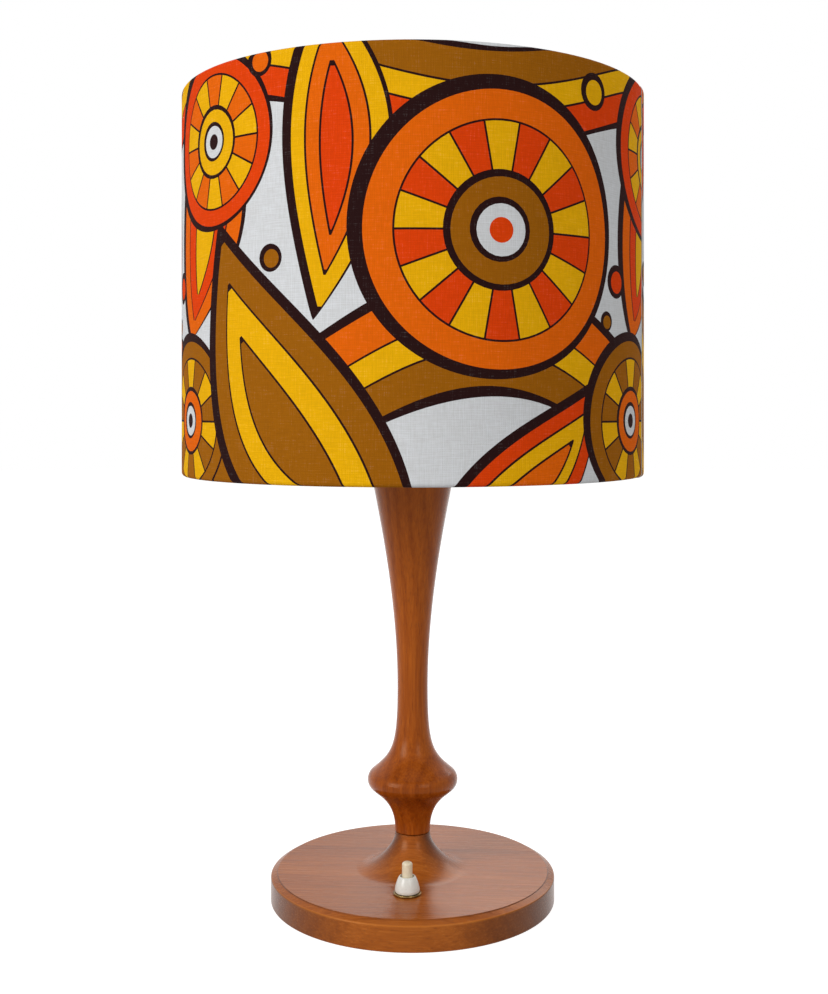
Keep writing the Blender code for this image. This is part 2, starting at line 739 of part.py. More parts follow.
# Push switch in the front of the base
def push_switch():
    at = (0, -switch_forward, 0)
    washer_z = base_top + gap
    nut_z = washer_z + washer_thickness + gap
    nut_top = nut_z + collar_nut_height
    neck_top = nut_top - collar_nut_roof - gap
    housing_top = pocket_z - gap
    ceiling = housing_top - housing_wall
    inner_radius = housing_radius - housing_wall
    cover_top = housing_floor + cover_thickness
    button_bore = button_radius + button_clearance

    neck_fit = thread_radius + gap
    washer_top = washer_z + washer_thickness
    outline = [(neck_fit, washer_top), (washer_radius, washer_top), (washer_radius, washer_z),
               (neck_fit, washer_z)]
    turned("switch_washer", outline, brass, fitting_steps, at)

    mouth = button_bore + collar_nut_lip
    belly_z = nut_z + collar_nut_height / 3
    crown = mouth + (collar_nut_radius - mouth) * collar_crown_share
    outline = [(button_bore, nut_top), (mouth, nut_top)]
    outline += bezier((mouth, nut_top), (crown, nut_top - collar_nut_lip),
                      (collar_nut_radius, (belly_z + nut_top) / 2), (collar_nut_radius, belly_z), 6)
    outline += bezier((collar_nut_radius, belly_z), (collar_nut_radius, belly_z - collar_nut_height / 6),
                      (collar_nut_radius - collar_nut_lip, nut_z + collar_nut_lip),
                      (collar_nut_radius - collar_nut_lip * 2, nut_z), 3)
    outline += [(neck_fit, nut_z), (neck_fit, neck_top + gap), (button_bore, neck_top + gap)]
    turned("switch_collar", outline, white_plastic, fitting_steps, at)

    outline = [(button_bore, neck_top), (thread_radius, neck_top), (thread_radius, housing_top),
               (housing_radius, housing_top), (housing_radius, housing_floor),
               (inner_radius + cover_ledge, housing_floor), (inner_radius + cover_ledge, cover_top + gap),
               (inner_radius, cover_top + gap), (inner_radius, ceiling), (button_bore, ceiling)]
    housing = turned("switch_housing", outline, brown_plastic, fitting_steps, at)

    # The button's stop rests under the housing's ceiling, and its spring stands in its bore
    stop_top = ceiling - gap
    stop_foot = stop_top - button_stop_height
    button_top = nut_top + button_stand
    bore = spring_radius + spring_wire_radius + spring_clearance
    bore_top = base_top + spring_space_above_wood
    outline = [(0, button_top), (button_radius - button_edge, button_top),
               (button_radius, button_top - button_edge), (button_radius, stop_top),
               (button_stop_radius, stop_top), (button_stop_radius, stop_foot), (bore, stop_foot),
               (bore, bore_top), (0, bore_top)]
    turned("push_button", outline, cream_plastic, small_steps, at)

    # Rotor: a two-lobed cam on a pin, with its brass bridge below
    rotor_top = stop_foot - button_travel - press_clearance
    bridge_z = cover_top + gap
    cam_z = bridge_z + bridge_thickness + gap
    waist = rotor_reach * rotor_waist_share
    outline = []
    for step in range(small_steps):
        angle = math.tau * step / small_steps
        reach = (rotor_reach + waist) / 2 - (rotor_reach - waist) / 2 * math.cos(2 * angle)
        outline.append((reach * math.cos(angle), reach * math.sin(angle)))
    middle_z = (cam_z + rotor_top) / 2
    cam = as_mesh(plate("switch_rotor", [outline], rotor_top - cam_z, brown_plastic,
                        (at[0], at[1], middle_z)))
    boss = cylinder("rotor_boss", spring_radius - spring_wire_radius - spring_clearance, middle_z,
                    rotor_top + spring_boss_height, None, fine_steps, at)
    pin = cylinder("rotor_pin", rotor_pin_radius, housing_floor + gap, middle_z, None, fine_steps, at)
    join(cam, boss)
    join(cam, pin)
    bridge = box("rotor_bridge", (-bridge_width / 2, -rotor_reach, bridge_z),
                 (bridge_width / 2, rotor_reach, bridge_z + bridge_thickness), brass)
    bridge.location = at
    pin_hole = cylinder("bridge_hole", rotor_pin_radius + gap, bridge_z - overrun,
                        bridge_z + bridge_thickness + overrun, None, fine_steps, at)
    cut(bridge, pin_hole)

    cover = cylinder("switch_cover", inner_radius + cover_ledge - gap, housing_floor, cover_top,
                     brown_plastic, fitting_steps, at)
    bearing = cylinder("cover_bearing", rotor_pin_radius + gap, housing_floor - overrun,
                       cover_top + overrun, None, fine_steps, at)
    cut(cover, bearing)

    # Contacts: a blade beside the rotor, a bar out through the wall and a tab for the lead
    blade_x = rotor_reach + contact_clearance
    bar_top = rotor_top
    bar_z = bar_top - contact_thickness
    tab_end = housing_radius + contact_tab
    slot = box("contact_slot", (-housing_radius - overrun, -contact_width / 2 - gap, bar_z - gap),
               (housing_radius + overrun, contact_width / 2 + gap, bar_top + gap), None)
    slot.location = at
    cut(housing, slot)
    screw_x = tab_end - contact_tab / 3
    for number, side in enumerate((-1, 1), 1):
        blade = [(blade_x, bridge_z), (blade_x + contact_thickness, bridge_z),
                 (blade_x + contact_thickness, bar_z), (tab_end, bar_z), (tab_end, bar_top),
                 (blade_x, bar_top)]
        outline = [(side * x, z) for x, z in blade]
        strip = as_mesh(plate(f"switch_contact_{number}", [outline], contact_width, brass, at,
                              (math.radians(90), 0, 0)))
        hole = cylinder(f"contact_hole_{number}", terminal_hole_radius, bar_z - overrun,
                        bar_top + overrun, None, fine_steps, (side * screw_x, at[1], 0))
        cut(strip, hole)
        screw(f"switch_terminal_screw_{number}", screw_head_radius, screw_head_height,
              screw_shank_radius, screw_length, (side * screw_x, at[1], bar_z - gap))

    # Spring, wound from the rotor to the top of the button's bore
    low = rotor_top + gap + spring_wire_radius
    high = bore_top - gap - spring_wire_radius
    steps = spring_turns * fine_steps
    turns = []
    for i in range(steps + 1):
        angle = math.tau * i / fine_steps
        turns.append((spring_radius * math.cos(angle), at[1] + spring_radius * math.sin(angle),
                      low + (high - low) * i / steps))
    rod("button_spring", turns, spring_wire_radius, steel, 0)
    print("Least gap between the spring's turns, mm:",
          round(((high - low) / spring_turns - 2 * spring_wire_radius) * 1000, 3))


# Shade: cotton over a stiff liner, both on wire rings
def shade():
    cotton_in = shade_radius - cotton_thickness
    liner_out = cotton_in - gap
    liner_in = liner_out - liner_thickness
    ring_radius = liner_in - gap - ring_wire_radius
    hem_out = ring_radius - ring_wire_radius - gap
    hem_in = hem_out - cotton_thickness
    roll = (shade_radius - hem_in) / 2
    roll_radius = shade_radius - roll
    roll_inside = roll - cotton_thickness
    top_z, low_z = shade_top - roll, shade_bottom + roll

    # The cotton runs up its outer side, rolls over the ring and is tucked in behind it
    outer_top = list(reversed(arc((roll_radius, top_z), roll, 0, math.pi, 4)))
    inner_top = arc((roll_radius, top_z), roll_inside, 0, math.pi, 3)
    outer_low = arc((roll_radius, low_z), roll, 0, -math.pi, 4)
    inner_low = list(reversed(arc((roll_radius, low_z), roll_inside, 0, -math.pi, 3)))
    outline = ([(hem_in, top_z - hem_depth)] + outer_top + outer_low
               + [(hem_in, low_z + hem_depth), (hem_out, low_z + hem_depth)] + inner_low + inner_top
               + [(hem_out, top_z - hem_depth)])
    cover = turned("shade_cover", outline, cotton, shade_steps)

    # Overlap seam: the cotton's end laid over its start
    half_turn = seam_width / shade_radius / 2
    seam_out = shade_radius + seam_thickness
    seam_root = shade_radius - cotton_thickness / 2
    band = arc((0, 0), seam_out, seam_angle - half_turn, seam_angle + half_turn, 4)
    band += arc((0, 0), seam_root, seam_angle + half_turn, seam_angle - half_turn, 4)
    seam = as_mesh(plate("shade_seam", [band], top_z - low_z, None, (0, 0, (top_z + low_z) / 2)))
    join(cover, seam)

    outline = [(liner_in, top_z), (liner_out, top_z), (liner_out, low_z), (liner_in, low_z)]
    turned("shade_liner", outline, liner_white, shade_steps)

    def ring(name, z, look):
        # A wire ring, its facets in line with the cotton's
        wire = [(ring_radius + ring_wire_radius * math.cos(a), z + ring_wire_radius * math.sin(a))
                for a in [math.tau * (0.5 - i) / ring_sides for i in range(ring_sides)]]
        return turned(name, wire, look, shade_steps)

    ring("shade_ring_top", top_z, white_enamel)

    # Carrier: lower ring, three arms and the fitter ring in one welded frame
    carrier = ring("shade_carrier", low_z, white_enamel)
    fitter_bore = body_thread_radius + gap
    outline = [(fitter_bore, fitter_z + fitter_thickness), (fitter_radius, fitter_z + fitter_thickness),
               (fitter_radius, fitter_z), (fitter_bore, fitter_z)]
    join(carrier, turned("fitter_ring", outline, None, fitting_steps))
    arm_z = fitter_z + fitter_thickness / 2
    arm_start = (clamp_radius + gap + fitter_radius) / 2
    for number in range(arm_count):
        angle = math.radians(90) + math.tau * number / arm_count
        run = [(arm_start, arm_z), (fitter_radius + arm_level_run, arm_z),
               (ring_radius - arm_level_run, low_z + ring_wire_radius / 2), (ring_radius, low_z)]
        stops = [(r * math.cos(angle), r * math.sin(angle), z) for r, z in run]
        arm = as_mesh(rod(f"carrier_arm_{number + 1}", smooth_route(stops), arm_wire_radius, None, 1))
        join(carrier, arm)
        notch = box(f"hem_notch_{number + 1}",
                    (hem_in - hem_depth, -hem_notch_width / 2, low_z - hem_notch_drop),
                    (ring_radius, hem_notch_width / 2, low_z + hem_depth + overrun), None)
        notch.rotation_euler = (0, 0, angle)
        cut(cover, notch)

    # Clamp ring with a scalloped grip
    outline = []
    count = clamp_scallops * 4
    for step in range(count):
        angle = math.tau * step / count
        reach = clamp_radius - clamp_scallop + clamp_scallop * math.cos(clamp_scallops * angle)
        outline.append((reach * math.cos(angle), reach * math.sin(angle)))
    hole = circle(fitter_bore, fitting_steps)
    plate("shade_clamp_ring", [outline, hole], clamp_height, white_plastic,
          (0, 0, clamp_z + clamp_height / 2))


# Terminal block in the recess, its brass inserts and screws
def terminal_block():
    top = recess_z - gap
    foot = top - block_height
    bore_z = top - block_barrel_radius
    half = block_pitch / 2
    outline = arc((half, bore_z), block_barrel_radius, 0, block_web_angle - math.pi, 6)
    outline += arc((-half, bore_z), block_barrel_radius, -block_web_angle, -math.pi, 6)
    outline += [(-half - block_barrel_radius, top), (half + block_barrel_radius, top)]
    body = as_mesh(plate("terminal_block", [outline], block_length, white_plastic,
                         (0, block_back, 0), (math.radians(90), 0, 0)))
    ends = (block_back - block_screw_offset, block_back + block_screw_offset)
    for number, side in enumerate((-1, 1), 1):
        x = side * half
        for where, y in enumerate(ends, 1):
            turret = cylinder(f"block_turret_{number}_{where}", block_turret_radius, foot,
                              bore_z + block_barrel_radius / 2, None, fine_steps, (x, y, 0))
            join(body, turret)
        middle = (x, block_back, bore_z)
        along = (math.radians(90), 0, 0)
        bore = cylinder(f"block_bore_{number}", block_insert_radius + gap, -block_length,
                        block_length, None, fine_steps, middle, along)
        cut(body, bore)
        insert = cylinder(f"block_insert_{number}", block_insert_radius, -block_insert_length / 2,
                          block_insert_length / 2, brass, fine_steps, middle, along)
        insert_bore = cylinder(f"insert_bore_{number}", block_insert_bore, -block_length,
                               block_length, None, fine_steps, middle, along)
        cut(insert, insert_bore)
        for where, y in enumerate(ends, 1):
            shaft = cylinder(f"block_screw_well_{number}_{where}", screw_head_radius + gap,
                             foot - overrun, bore_z, None, fine_steps, (x, y, 0))
            cut(body, shaft)
            tapped = cylinder(f"insert_thread_{number}_{where}", screw_shank_radius + gap,
                              bore_z - block_barrel_radius, bore_z, None, fine_steps, (x, y, 0))
            cut(insert, tapped)
            head_z = bore_z - block_insert_radius - gap
            screw(f"block_screw_{number}_{where}", screw_head_radius, screw_head_height, screw_shank_radius,
                  block_insert_radius - block_insert_bore, (x, y, head_z))
    x, y = block_screw_place()
    hole = cylinder("block_fixing_hole", screw_shank_radius + gap, bore_z - overrun, top + overrun, None,
                    fine_steps, (x, y, 0))
    cut(body, hole)
    well = cylinder("block_fixing_well", block_fixing_head_radius + gap, foot - overrun, bore_z + gap, None,
                    fine_steps, (x, y, 0))
    cut(body, well)
    screw("block_fixing_screw", block_fixing_head_radius, screw_head_height, screw_shank_radius,
          recess_z + wood_screw_bite - bore_z, (x, y, bore_z))


# Leads between the terminal block, the switch and the lampholder
def leads():
    under = (felt_top + ballast_foot) / 2
    low = felt_top + gap + lead_radius * 1.5
    block_x = block_pitch / 2
    block_z = recess_z - gap - block_barrel_radius
    block_end = block_back - block_insert_length / 4
    bend = tube_foot - (tube_foot - low) / 3
    rise = tube_top + (insert_top - insert_height - gap - terminal_height - tube_top) / 2
    terminal_z = insert_top - insert_height - gap - terminal_height * 3 / 4
    in_tube = lead_radius + gap

    def up_the_tube(side):
        # The last stretch of the two leads that go up to the lampholder
        straight = [tube_foot + tube_radius, stem_foot + stem_length / 2, tube_top - tube_radius,
                    tube_top]
        return [(side * in_tube, 0, z) for z in straight] + [
            (side * (in_tube + terminal_reach) / 2, 0, rise),
            (side * terminal_reach, 0, (terminal_z + rise) / 2),
            (side * terminal_reach, 0, terminal_z)]

    clear = base_nut_size + lead_radius + gap
    tab_x = housing_radius + contact_tab / 4
    tab_y = -switch_forward + contact_width / 2 + gap
    cover_top = housing_floor + cover_thickness
    tab_z = cover_top + gap + (pocket_z - cover_top) / 3
    edge_y = -switch_forward + ballast_switch_radius
    neutral = [(-block_x, block_end, block_z), (-block_x, block_back - block_length, block_z),
               (-block_x, clear * 1.5, low + lead_radius * 2), (-in_tube, clear / 2, low),
               (-in_tube, in_tube / 2, bend)] + up_the_tube(-1)
    switched = [(-tab_x, tab_y, tab_z), (-tab_x, tab_y + lead_radius * 2, tab_z),
                (-clear, edge_y, under), (-clear, -ballast_bore_radius, under),
                (-in_tube, -clear / 2, low), (in_tube, -in_tube / 2, bend)] + up_the_tube(1)
    live = [(block_x, block_end, block_z), (block_x, block_back - block_length, block_z),
            (clear, clear * 1.5, low + lead_radius * 2), (clear * 1.2, 0, low),
            (clear, -ballast_bore_radius, under), (clear, edge_y, under),
            (tab_x, tab_y + lead_radius * 2, tab_z), (tab_x, tab_y, tab_z)]
    rod("wire_neutral", smooth_route(neutral), lead_radius, blue_lead, 1)
    rod("wire_switched", smooth_route(switched), lead_radius, brown_lead, 1)
    rod("wire_live", smooth_route(live), lead_radius, brown_lead, 1)


felt_pad()
base_disc()
ballast()
cable_bush()
stem()
tube_and_nuts()
lampholder()
bulb()
push_switch()
shade()
terminal_block()
leads()
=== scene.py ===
import math

import bmesh
import bpy
import numpy as np
from mathutils import Matrix, Vector
from mathutils.geometry import delaunay_2d_cdt


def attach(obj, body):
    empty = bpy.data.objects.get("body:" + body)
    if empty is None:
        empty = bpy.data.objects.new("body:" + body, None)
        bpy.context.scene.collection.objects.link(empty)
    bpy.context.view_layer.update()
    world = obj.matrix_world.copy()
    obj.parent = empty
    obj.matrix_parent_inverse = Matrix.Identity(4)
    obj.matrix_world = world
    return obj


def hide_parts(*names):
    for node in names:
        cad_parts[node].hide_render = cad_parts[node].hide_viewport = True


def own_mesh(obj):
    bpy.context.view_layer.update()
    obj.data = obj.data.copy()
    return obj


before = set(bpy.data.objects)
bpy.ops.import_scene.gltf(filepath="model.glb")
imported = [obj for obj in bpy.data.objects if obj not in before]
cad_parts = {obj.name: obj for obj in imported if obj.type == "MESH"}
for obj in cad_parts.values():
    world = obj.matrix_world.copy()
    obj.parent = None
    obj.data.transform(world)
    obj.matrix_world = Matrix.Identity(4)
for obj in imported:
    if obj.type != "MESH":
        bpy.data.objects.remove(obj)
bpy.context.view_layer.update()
scene = bpy.context.scene
mm = 0.001  # all the sizes below are in millimetres

# The lamp stands with its switch at the front, towards -Y, and its cord inlet at the back
viewOfPhoto = {
    "place": (0.0602, -0.8587, 0.3220),  # metres
    "turn": 3.95,                        # degrees round from the front
    "lens": 47.25,
    "sensor": 36,
    "shiftUp": -0.0910,
}


def linked(name, data):
    thing = bpy.data.objects.new(name, data)
    scene.collection.objects.link(thing)
    return thing


def setCamera(settings):
    lensData = bpy.data.cameras.new("photoCamera")
    lensData.lens = settings["lens"]
    lensData.sensor_width = settings["sensor"]
    lensData.shift_y = settings["shiftUp"]
    cameraObject = linked("photoCamera", lensData)
    cameraObject.location = settings["place"]
    cameraObject.rotation_euler = (math.radians(90), 0, math.radians(settings["turn"]))
    scene.camera = cameraObject


setCamera(viewOfPhoto)
print("camera set")


# Helpers for node trees

def addNode(tree, kind, sockets=None, **settings):
    node = tree.nodes.new("ShaderNode" + kind)
    for name, value in settings.items():
        setattr(node, name, value)
    for name, value in (sockets or {}).items():
        if isinstance(value, bpy.types.NodeSocket):
            tree.links.new(value, node.inputs[name])
        else:
            node.inputs[name].default_value = value
    return node


def newLook(name, **sockets):
    # A material with a Principled shader, whose plain numbers are set on its own sockets
    look = bpy.data.materials.new(name)
    look.use_nodes = True
    tree = look.node_tree
    tree.nodes.clear()
    shader = addNode(tree, "BsdfPrincipled", sockets)
    end = addNode(tree, "OutputMaterial")
    tree.links.new(shader.outputs["BSDF"], end.inputs["Surface"])
    return look, tree, shader


def noise(tree, place, scale, detail=2.0, roughness=0.5, distortion=0.0):
    return addNode(tree, "TexNoise", {"Vector": place, "Scale": scale, "Detail": detail,
                                      "Roughness": roughness, "Distortion": distortion}).outputs["Fac"]


def stretched(tree, place, scale, move=(0, 0, 0)):
    return addNode(tree, "Mapping", {"Vector": place, "Scale": scale, "Location": move}).outputs["Vector"]


def reckon(tree, operation, first, second=0.5, third=0.5):
    node = addNode(tree, "Math", operation=operation)
    for socket, value in zip(node.inputs, (first, second, third)):
        if isinstance(value, bpy.types.NodeSocket):
            tree.links.new(value, socket)
        else:
            socket.default_value = value
    return node.outputs[0]


def spread(tree, value, low, high, toLow=0.0, toHigh=1.0):
    # Carries the value from one range to another, held at both ends
    return addNode(tree, "MapRange", {"Value": value, "From Min": low, "From Max": high,
                                      "To Min": toLow, "To Max": toHigh}).outputs["Result"]


def tones(tree, value, stops):
    ramp = addNode(tree, "ValToRGB", {"Fac": value})
    marks = ramp.color_ramp.elements
    while len(marks) < len(stops):
        marks.new(0.5)
    for mark, (position, colour) in zip(marks, stops):
        mark.position = position
        mark.color = (*colour, 1)
    return ramp.outputs["Color"]


def mixed(tree, share, first, second, way="MIX"):
    node = addNode(tree, "Mix", data_type="RGBA", blend_type=way)
    for socket, value in ((node.inputs[0], share), (node.inputs[6], first), (node.inputs[7], second)):
        if isinstance(value, bpy.types.NodeSocket):
            tree.links.new(value, socket)
        elif isinstance(value, tuple):
            socket.default_value = (*value, 1)
        else:
            socket.default_value = value
    return node.outputs[2]


def plainlySeen(tree):
    # One for what the camera sees, also in a mirror or through glass, and zero for light that bounces
    path = addNode(tree, "LightPath").outputs
    return reckon(tree, "MAXIMUM", path["Is Camera Ray"],
                  reckon(tree, "MAXIMUM", path["Is Glossy Ray"], path["Is Transmission Ray"]))


def bumpInto(tree, shader, height, depth, strength):
    bump = addNode(tree, "Bump", {"Height": height, "Distance": depth, "Strength": strength})
    tree.links.new(bump.outputs["Normal"], shader.inputs["Normal"])


# Materials

teak = {
    "base": {"deep": (0.175, 0.034, 0.004), "middle": (0.380, 0.097, 0.012), "pale": (0.560, 0.170, 0.024),
             "rings": 0.07, "gloss": 0.24, "rough": 0.19, "fibre": 0.046},
    "stem": {"deep": (0.135, 0.020, 0.002), "middle": (0.330, 0.068, 0.005), "pale": (0.520, 0.132, 0.012),
             "rings": 0.12, "gloss": 0.22, "rough": 0.15, "fibre": 0.026},
    "pore": (0.060, 0.010, 0.002),
    "ringScale": 42,
    "fibreScale": 780,
    "poreScale": 2100,
    "figureScale": 34,
    "endGrainAndSideShade": (0.30, 0.88),      # lean of the surface towards the grain, from none to full
    "endAndSideShadeTone": (0.34, 0.32, 0.38),
    "glossTint": (1.0, 0.66, 0.42, 1.0),
    "groove": 0.0887,        # radius of the quirk inside the rim's band, metres
    "arris": (0.0925, 0.0157),
    "joint": 0.04255,        # height of the joint between base and stem
}


def teakLook(name, along, heart, wood):
    # Solid wood: growth rings round a heart line, fibres and pores drawn out along the grain
    look, tree, shader = newLook(name, **{"Specular IOR Level": wood["gloss"],
                                          "Specular Tint": teak["glossTint"]})
    place = addNode(tree, "TexCoord").outputs["Object"]

    def drawnOut(share, move=heart):
        return stretched(tree, place, (share, 1, 1) if along == "X" else (1, 1, share), move)

    ringPlace = drawnOut(0.10)
    rings = addNode(tree, "TexWave", {"Vector": ringPlace, "Scale": teak["ringScale"], "Distortion": 4.5,
                                      "Detail": 3.0, "Detail Scale": 0.55, "Detail Roughness": 0.6},
                    wave_type="RINGS", rings_direction=along).outputs["Fac"]
    ringLine = spread(tree, rings, 0.25, 1.0)
    fibres = noise(tree, drawnOut(wood["fibre"]), teak["fibreScale"], 4.0, 0.6)
    figure = noise(tree, drawnOut(0.12), teak["figureScale"], 2.0, 0.5)
    pores = noise(tree, drawnOut(0.055), teak["poreScale"], 1.5, 0.4)

    share = reckon(tree, "MULTIPLY_ADD", ringLine, -wood["rings"], 0.50 + wood["rings"] * 0.4)
    share = reckon(tree, "ADD", spread(tree, fibres, 0.30, 0.70, -0.14, 0.14), share)
    share = reckon(tree, "ADD", spread(tree, figure, 0.30, 0.70, -0.13, 0.13), share)
    colour = tones(tree, share, [(0.10, wood["deep"]), (0.50, wood["middle"]), (0.92, wood["pale"])])
    poreShare = spread(tree, pores, 0.60, 0.74, 0.0, 0.42)
    colour = mixed(tree, poreShare, colour, teak["pore"])
    # Oil and dust darken the joint; the groove is darkened as painted shade, and the arris is lightened as a
    # painted highlight
    axes = addNode(tree, "SeparateXYZ", {"Vector": place}).outputs
    level = addNode(tree, "CombineXYZ", {"X": axes["X"], "Y": axes["Y"]}).outputs[0]
    reach = addNode(tree, "VectorMath", {0: level}, operation="LENGTH").outputs["Value"]
    fromJoint = reckon(tree, "ABSOLUTE", reckon(tree, "SUBTRACT", axes["Z"], teak["joint"]))
    jointDirtAndGrooveShade = spread(tree, fromJoint, 0.0002, 0.0009, 0.40, 0.0)
    if name == "teakBase":
        # Painted shade in the quirk groove inside the rim's band
        fromGroove = reckon(tree, "ABSOLUTE", reckon(tree, "SUBTRACT", reach, teak["groove"]))
        groove = reckon(tree, "MULTIPLY", spread(tree, fromGroove, 0.0001, 0.0007, 0.26, 0.0),
                        spread(tree, axes["Z"], 0.0160, 0.0172))
        jointDirtAndGrooveShade = reckon(tree, "MAXIMUM", jointDirtAndGrooveShade, groove)
        # Painted highlight along the rounded arris of the rim
        outward = reckon(tree, "SUBTRACT", reach, teak["arris"][0])
        upward = reckon(tree, "SUBTRACT", axes["Z"], teak["arris"][1])
        fromArris = reckon(tree, "SQRT", reckon(tree, "MULTIPLY_ADD", outward, outward,
                                                reckon(tree, "MULTIPLY", upward, upward)))
        colour = mixed(tree, spread(tree, fromArris, 0.0003, 0.0009, 0.7, 0.0), colour, wood["pale"])
    # Dark joint and painted groove shade, mixed in together
    colour = mixed(tree, jointDirtAndGrooveShade, colour, teak["pore"])
    if along == "X":
        # End grain drinks more oil, and painted shade darkens the disc's left and right sides: the disc is
        # darker where its surface faces along X, where the grain runs out of its rim
        facing = addNode(tree, "TexCoord").outputs["Normal"]
        lean = reckon(tree, "ABSOLUTE", addNode(tree, "SeparateXYZ", {"Vector": facing}).outputs["X"])
        endAndSideShade = mixed(tree, 1.0, colour, teak["endAndSideShadeTone"], "MULTIPLY")
        colour = mixed(tree, spread(tree, lean, *teak["endGrainAndSideShade"]), colour, endAndSideShade)
    tree.links.new(colour, shader.inputs["Base Color"])
    dull = reckon(tree, "MULTIPLY_ADD", poreShare, 0.2, wood["rough"])
    dull = reckon(tree, "MULTIPLY_ADD", fibres, 0.14, dull)
    tree.links.new(dull, shader.inputs["Roughness"])
    relief = reckon(tree, "MULTIPLY_ADD", poreShare, -1.2, fibres)
    bumpInto(tree, shader, relief, 0.00006, 0.5)
    return look


def evenLook(name, deep, pale, rough, patch=45.0, grain=1400.0, depth=0.00002, **sockets):
    # A moulded, cast or metal skin: cloudy tone, fine grain, and gloss that varies a little
    look, tree, shader = newLook(name, **sockets)
    place = addNode(tree, "TexCoord").outputs["Object"]
    clouds = noise(tree, place, patch, 4.0, 0.6)
    grains = noise(tree, place, grain, 2.0, 0.5)
    share = reckon(tree, "MULTIPLY_ADD", grains, 0.35, reckon(tree, "MULTIPLY", clouds, 0.75))
    tree.links.new(tones(tree, share, [(0.36, deep), (0.72, pale)]), shader.inputs["Base Color"])
    tree.links.new(spread(tree, clouds, 0.3, 0.7, rough - 0.05, rough + 0.07), shader.inputs["Roughness"])
    bumpInto(tree, shader, grains, depth, 0.6)
    return look


def turnedMetalLook(name, deep, pale, rough, lines):
    # Metal from the lathe: fine rings of height show as faint lines round the piece
    look, tree, shader = newLook(name, Metallic=1.0)
    place = addNode(tree, "TexCoord").outputs["Object"]
    scratches = noise(tree, stretched(tree, place, (1, 1, 9)), lines, 3.0, 0.6)
    tarnish = noise(tree, place, 160.0, 4.0, 0.6)
    tree.links.new(tones(tree, tarnish, [(0.35, deep), (0.62, pale)]), shader.inputs["Base Color"])
    tree.links.new(spread(tree, scratches, 0.3, 0.7, rough - 0.08, rough + 0.12), shader.inputs["Roughness"])
    bumpInto(tree, shader, scratches, 0.00001, 0.5)
    return look


def feltLook(name, deep, pale):
    # Pressed wool: short tangled fibres over soft clouds
    look, tree, shader = newLook(name, **{"Roughness": 0.95, "Sheen Weight": 0.3, "Sheen Roughness": 0.6})
    place = addNode(tree, "TexCoord").outputs["Object"]
    tangle = noise(tree, place, 1500.0, 5.0, 0.7, 1.6)
    strands = noise(tree, stretched(tree, place, (1, 0.2, 1)), 2600.0, 3.0, 0.6, 2.0)
    clouds = noise(tree, place, 60.0, 3.0, 0.6)
    share = reckon(tree, "MULTIPLY_ADD", clouds, 0.4, reckon(tree, "MULTIPLY", tangle, 0.6))
    tree.links.new(tones(tree, share, [(0.36, deep), (0.64, pale)]), shader.inputs["Base Color"])
    bumpInto(tree, shader, reckon(tree, "ADD", tangle, strands), 0.0004, 0.7)
    return look


cloth = {
    "threadsAcross": 0.62,   # spacing of the threads
    "fade": 0.06,            # how far the ink breaks up over the threads
    "relief": 0.00016,       # metres
    "thread": (0.80, 0.80, 0.78),
    "cutEdge": (0.74, 0.74, 0.71),
    "showsThrough": 0.45,    # share of the print's colour on the back of the cotton
}


def printedCottonLook(name):
    # Plain-weave cotton with slubs; the printed colour comes with the mesh, and the threads take it unevenly
    look, tree, shader = newLook(name, **{"Specular IOR Level": 0.06})
    ink = addNode(tree, "Attribute", attribute_name="print").outputs["Color"]
    flat = addNode(tree, "UVMap", uv_map="cloth").outputs["UV"]
    perMetre = math.pi / (cloth["threadsAcross"] * mm * 10)
    wave = {"Vector": flat, "Scale": perMetre / 2, "Distortion": 0.8, "Detail": 1.0, "Detail Scale": 0.12}
    weft, warp = (addNode(tree, "TexWave", wave, bands_direction=way).outputs["Fac"] for way in ("Y", "X"))
    weftSlub, warpSlub = (spread(tree, noise(tree, stretched(tree, flat, drawn), 1100.0, 3.0, 0.6),
                                 0.36, 0.66, -0.5, 0.5) for drawn in ((0.09, 1, 1), (1, 0.09, 1)))
    wear = noise(tree, flat, 34.0, 3.0, 0.55)
    threads = reckon(tree, "MULTIPLY", weft, warp)
    slubs = reckon(tree, "ADD", weftSlub, warpSlub)
    uneven = reckon(tree, "MULTIPLY_ADD", threads, -0.35, reckon(tree, "MULTIPLY_ADD", slubs, 0.55, 0.5))
    darker = mixed(tree, 1.0, ink, tones(tree, uneven, [(0.0, (0.84, 0.83, 0.81)), (1.0, (1.0, 1.0, 1.0))]),
                   "MULTIPLY")
    bare = spread(tree, uneven, 0.62, 1.05, 0.0, cloth["fade"])
    colour = mixed(tree, bare, darker, cloth["thread"])
    worn = tones(tree, wear, [(0.3, (0.955, 0.95, 0.94)), (0.7, (1.0, 1.0, 1.0))])
    colour = mixed(tree, 1.0, colour, worn, "MULTIPLY")
    tree.links.new(colour, shader.inputs["Base Color"])
    tree.links.new(spread(tree, uneven, 0.0, 1.0, 0.78, 0.94), shader.inputs["Roughness"])
    bumpInto(tree, shader, reckon(tree, "MULTIPLY_ADD", slubs, 0.6, threads), cloth["relief"], 0.5)
    return look


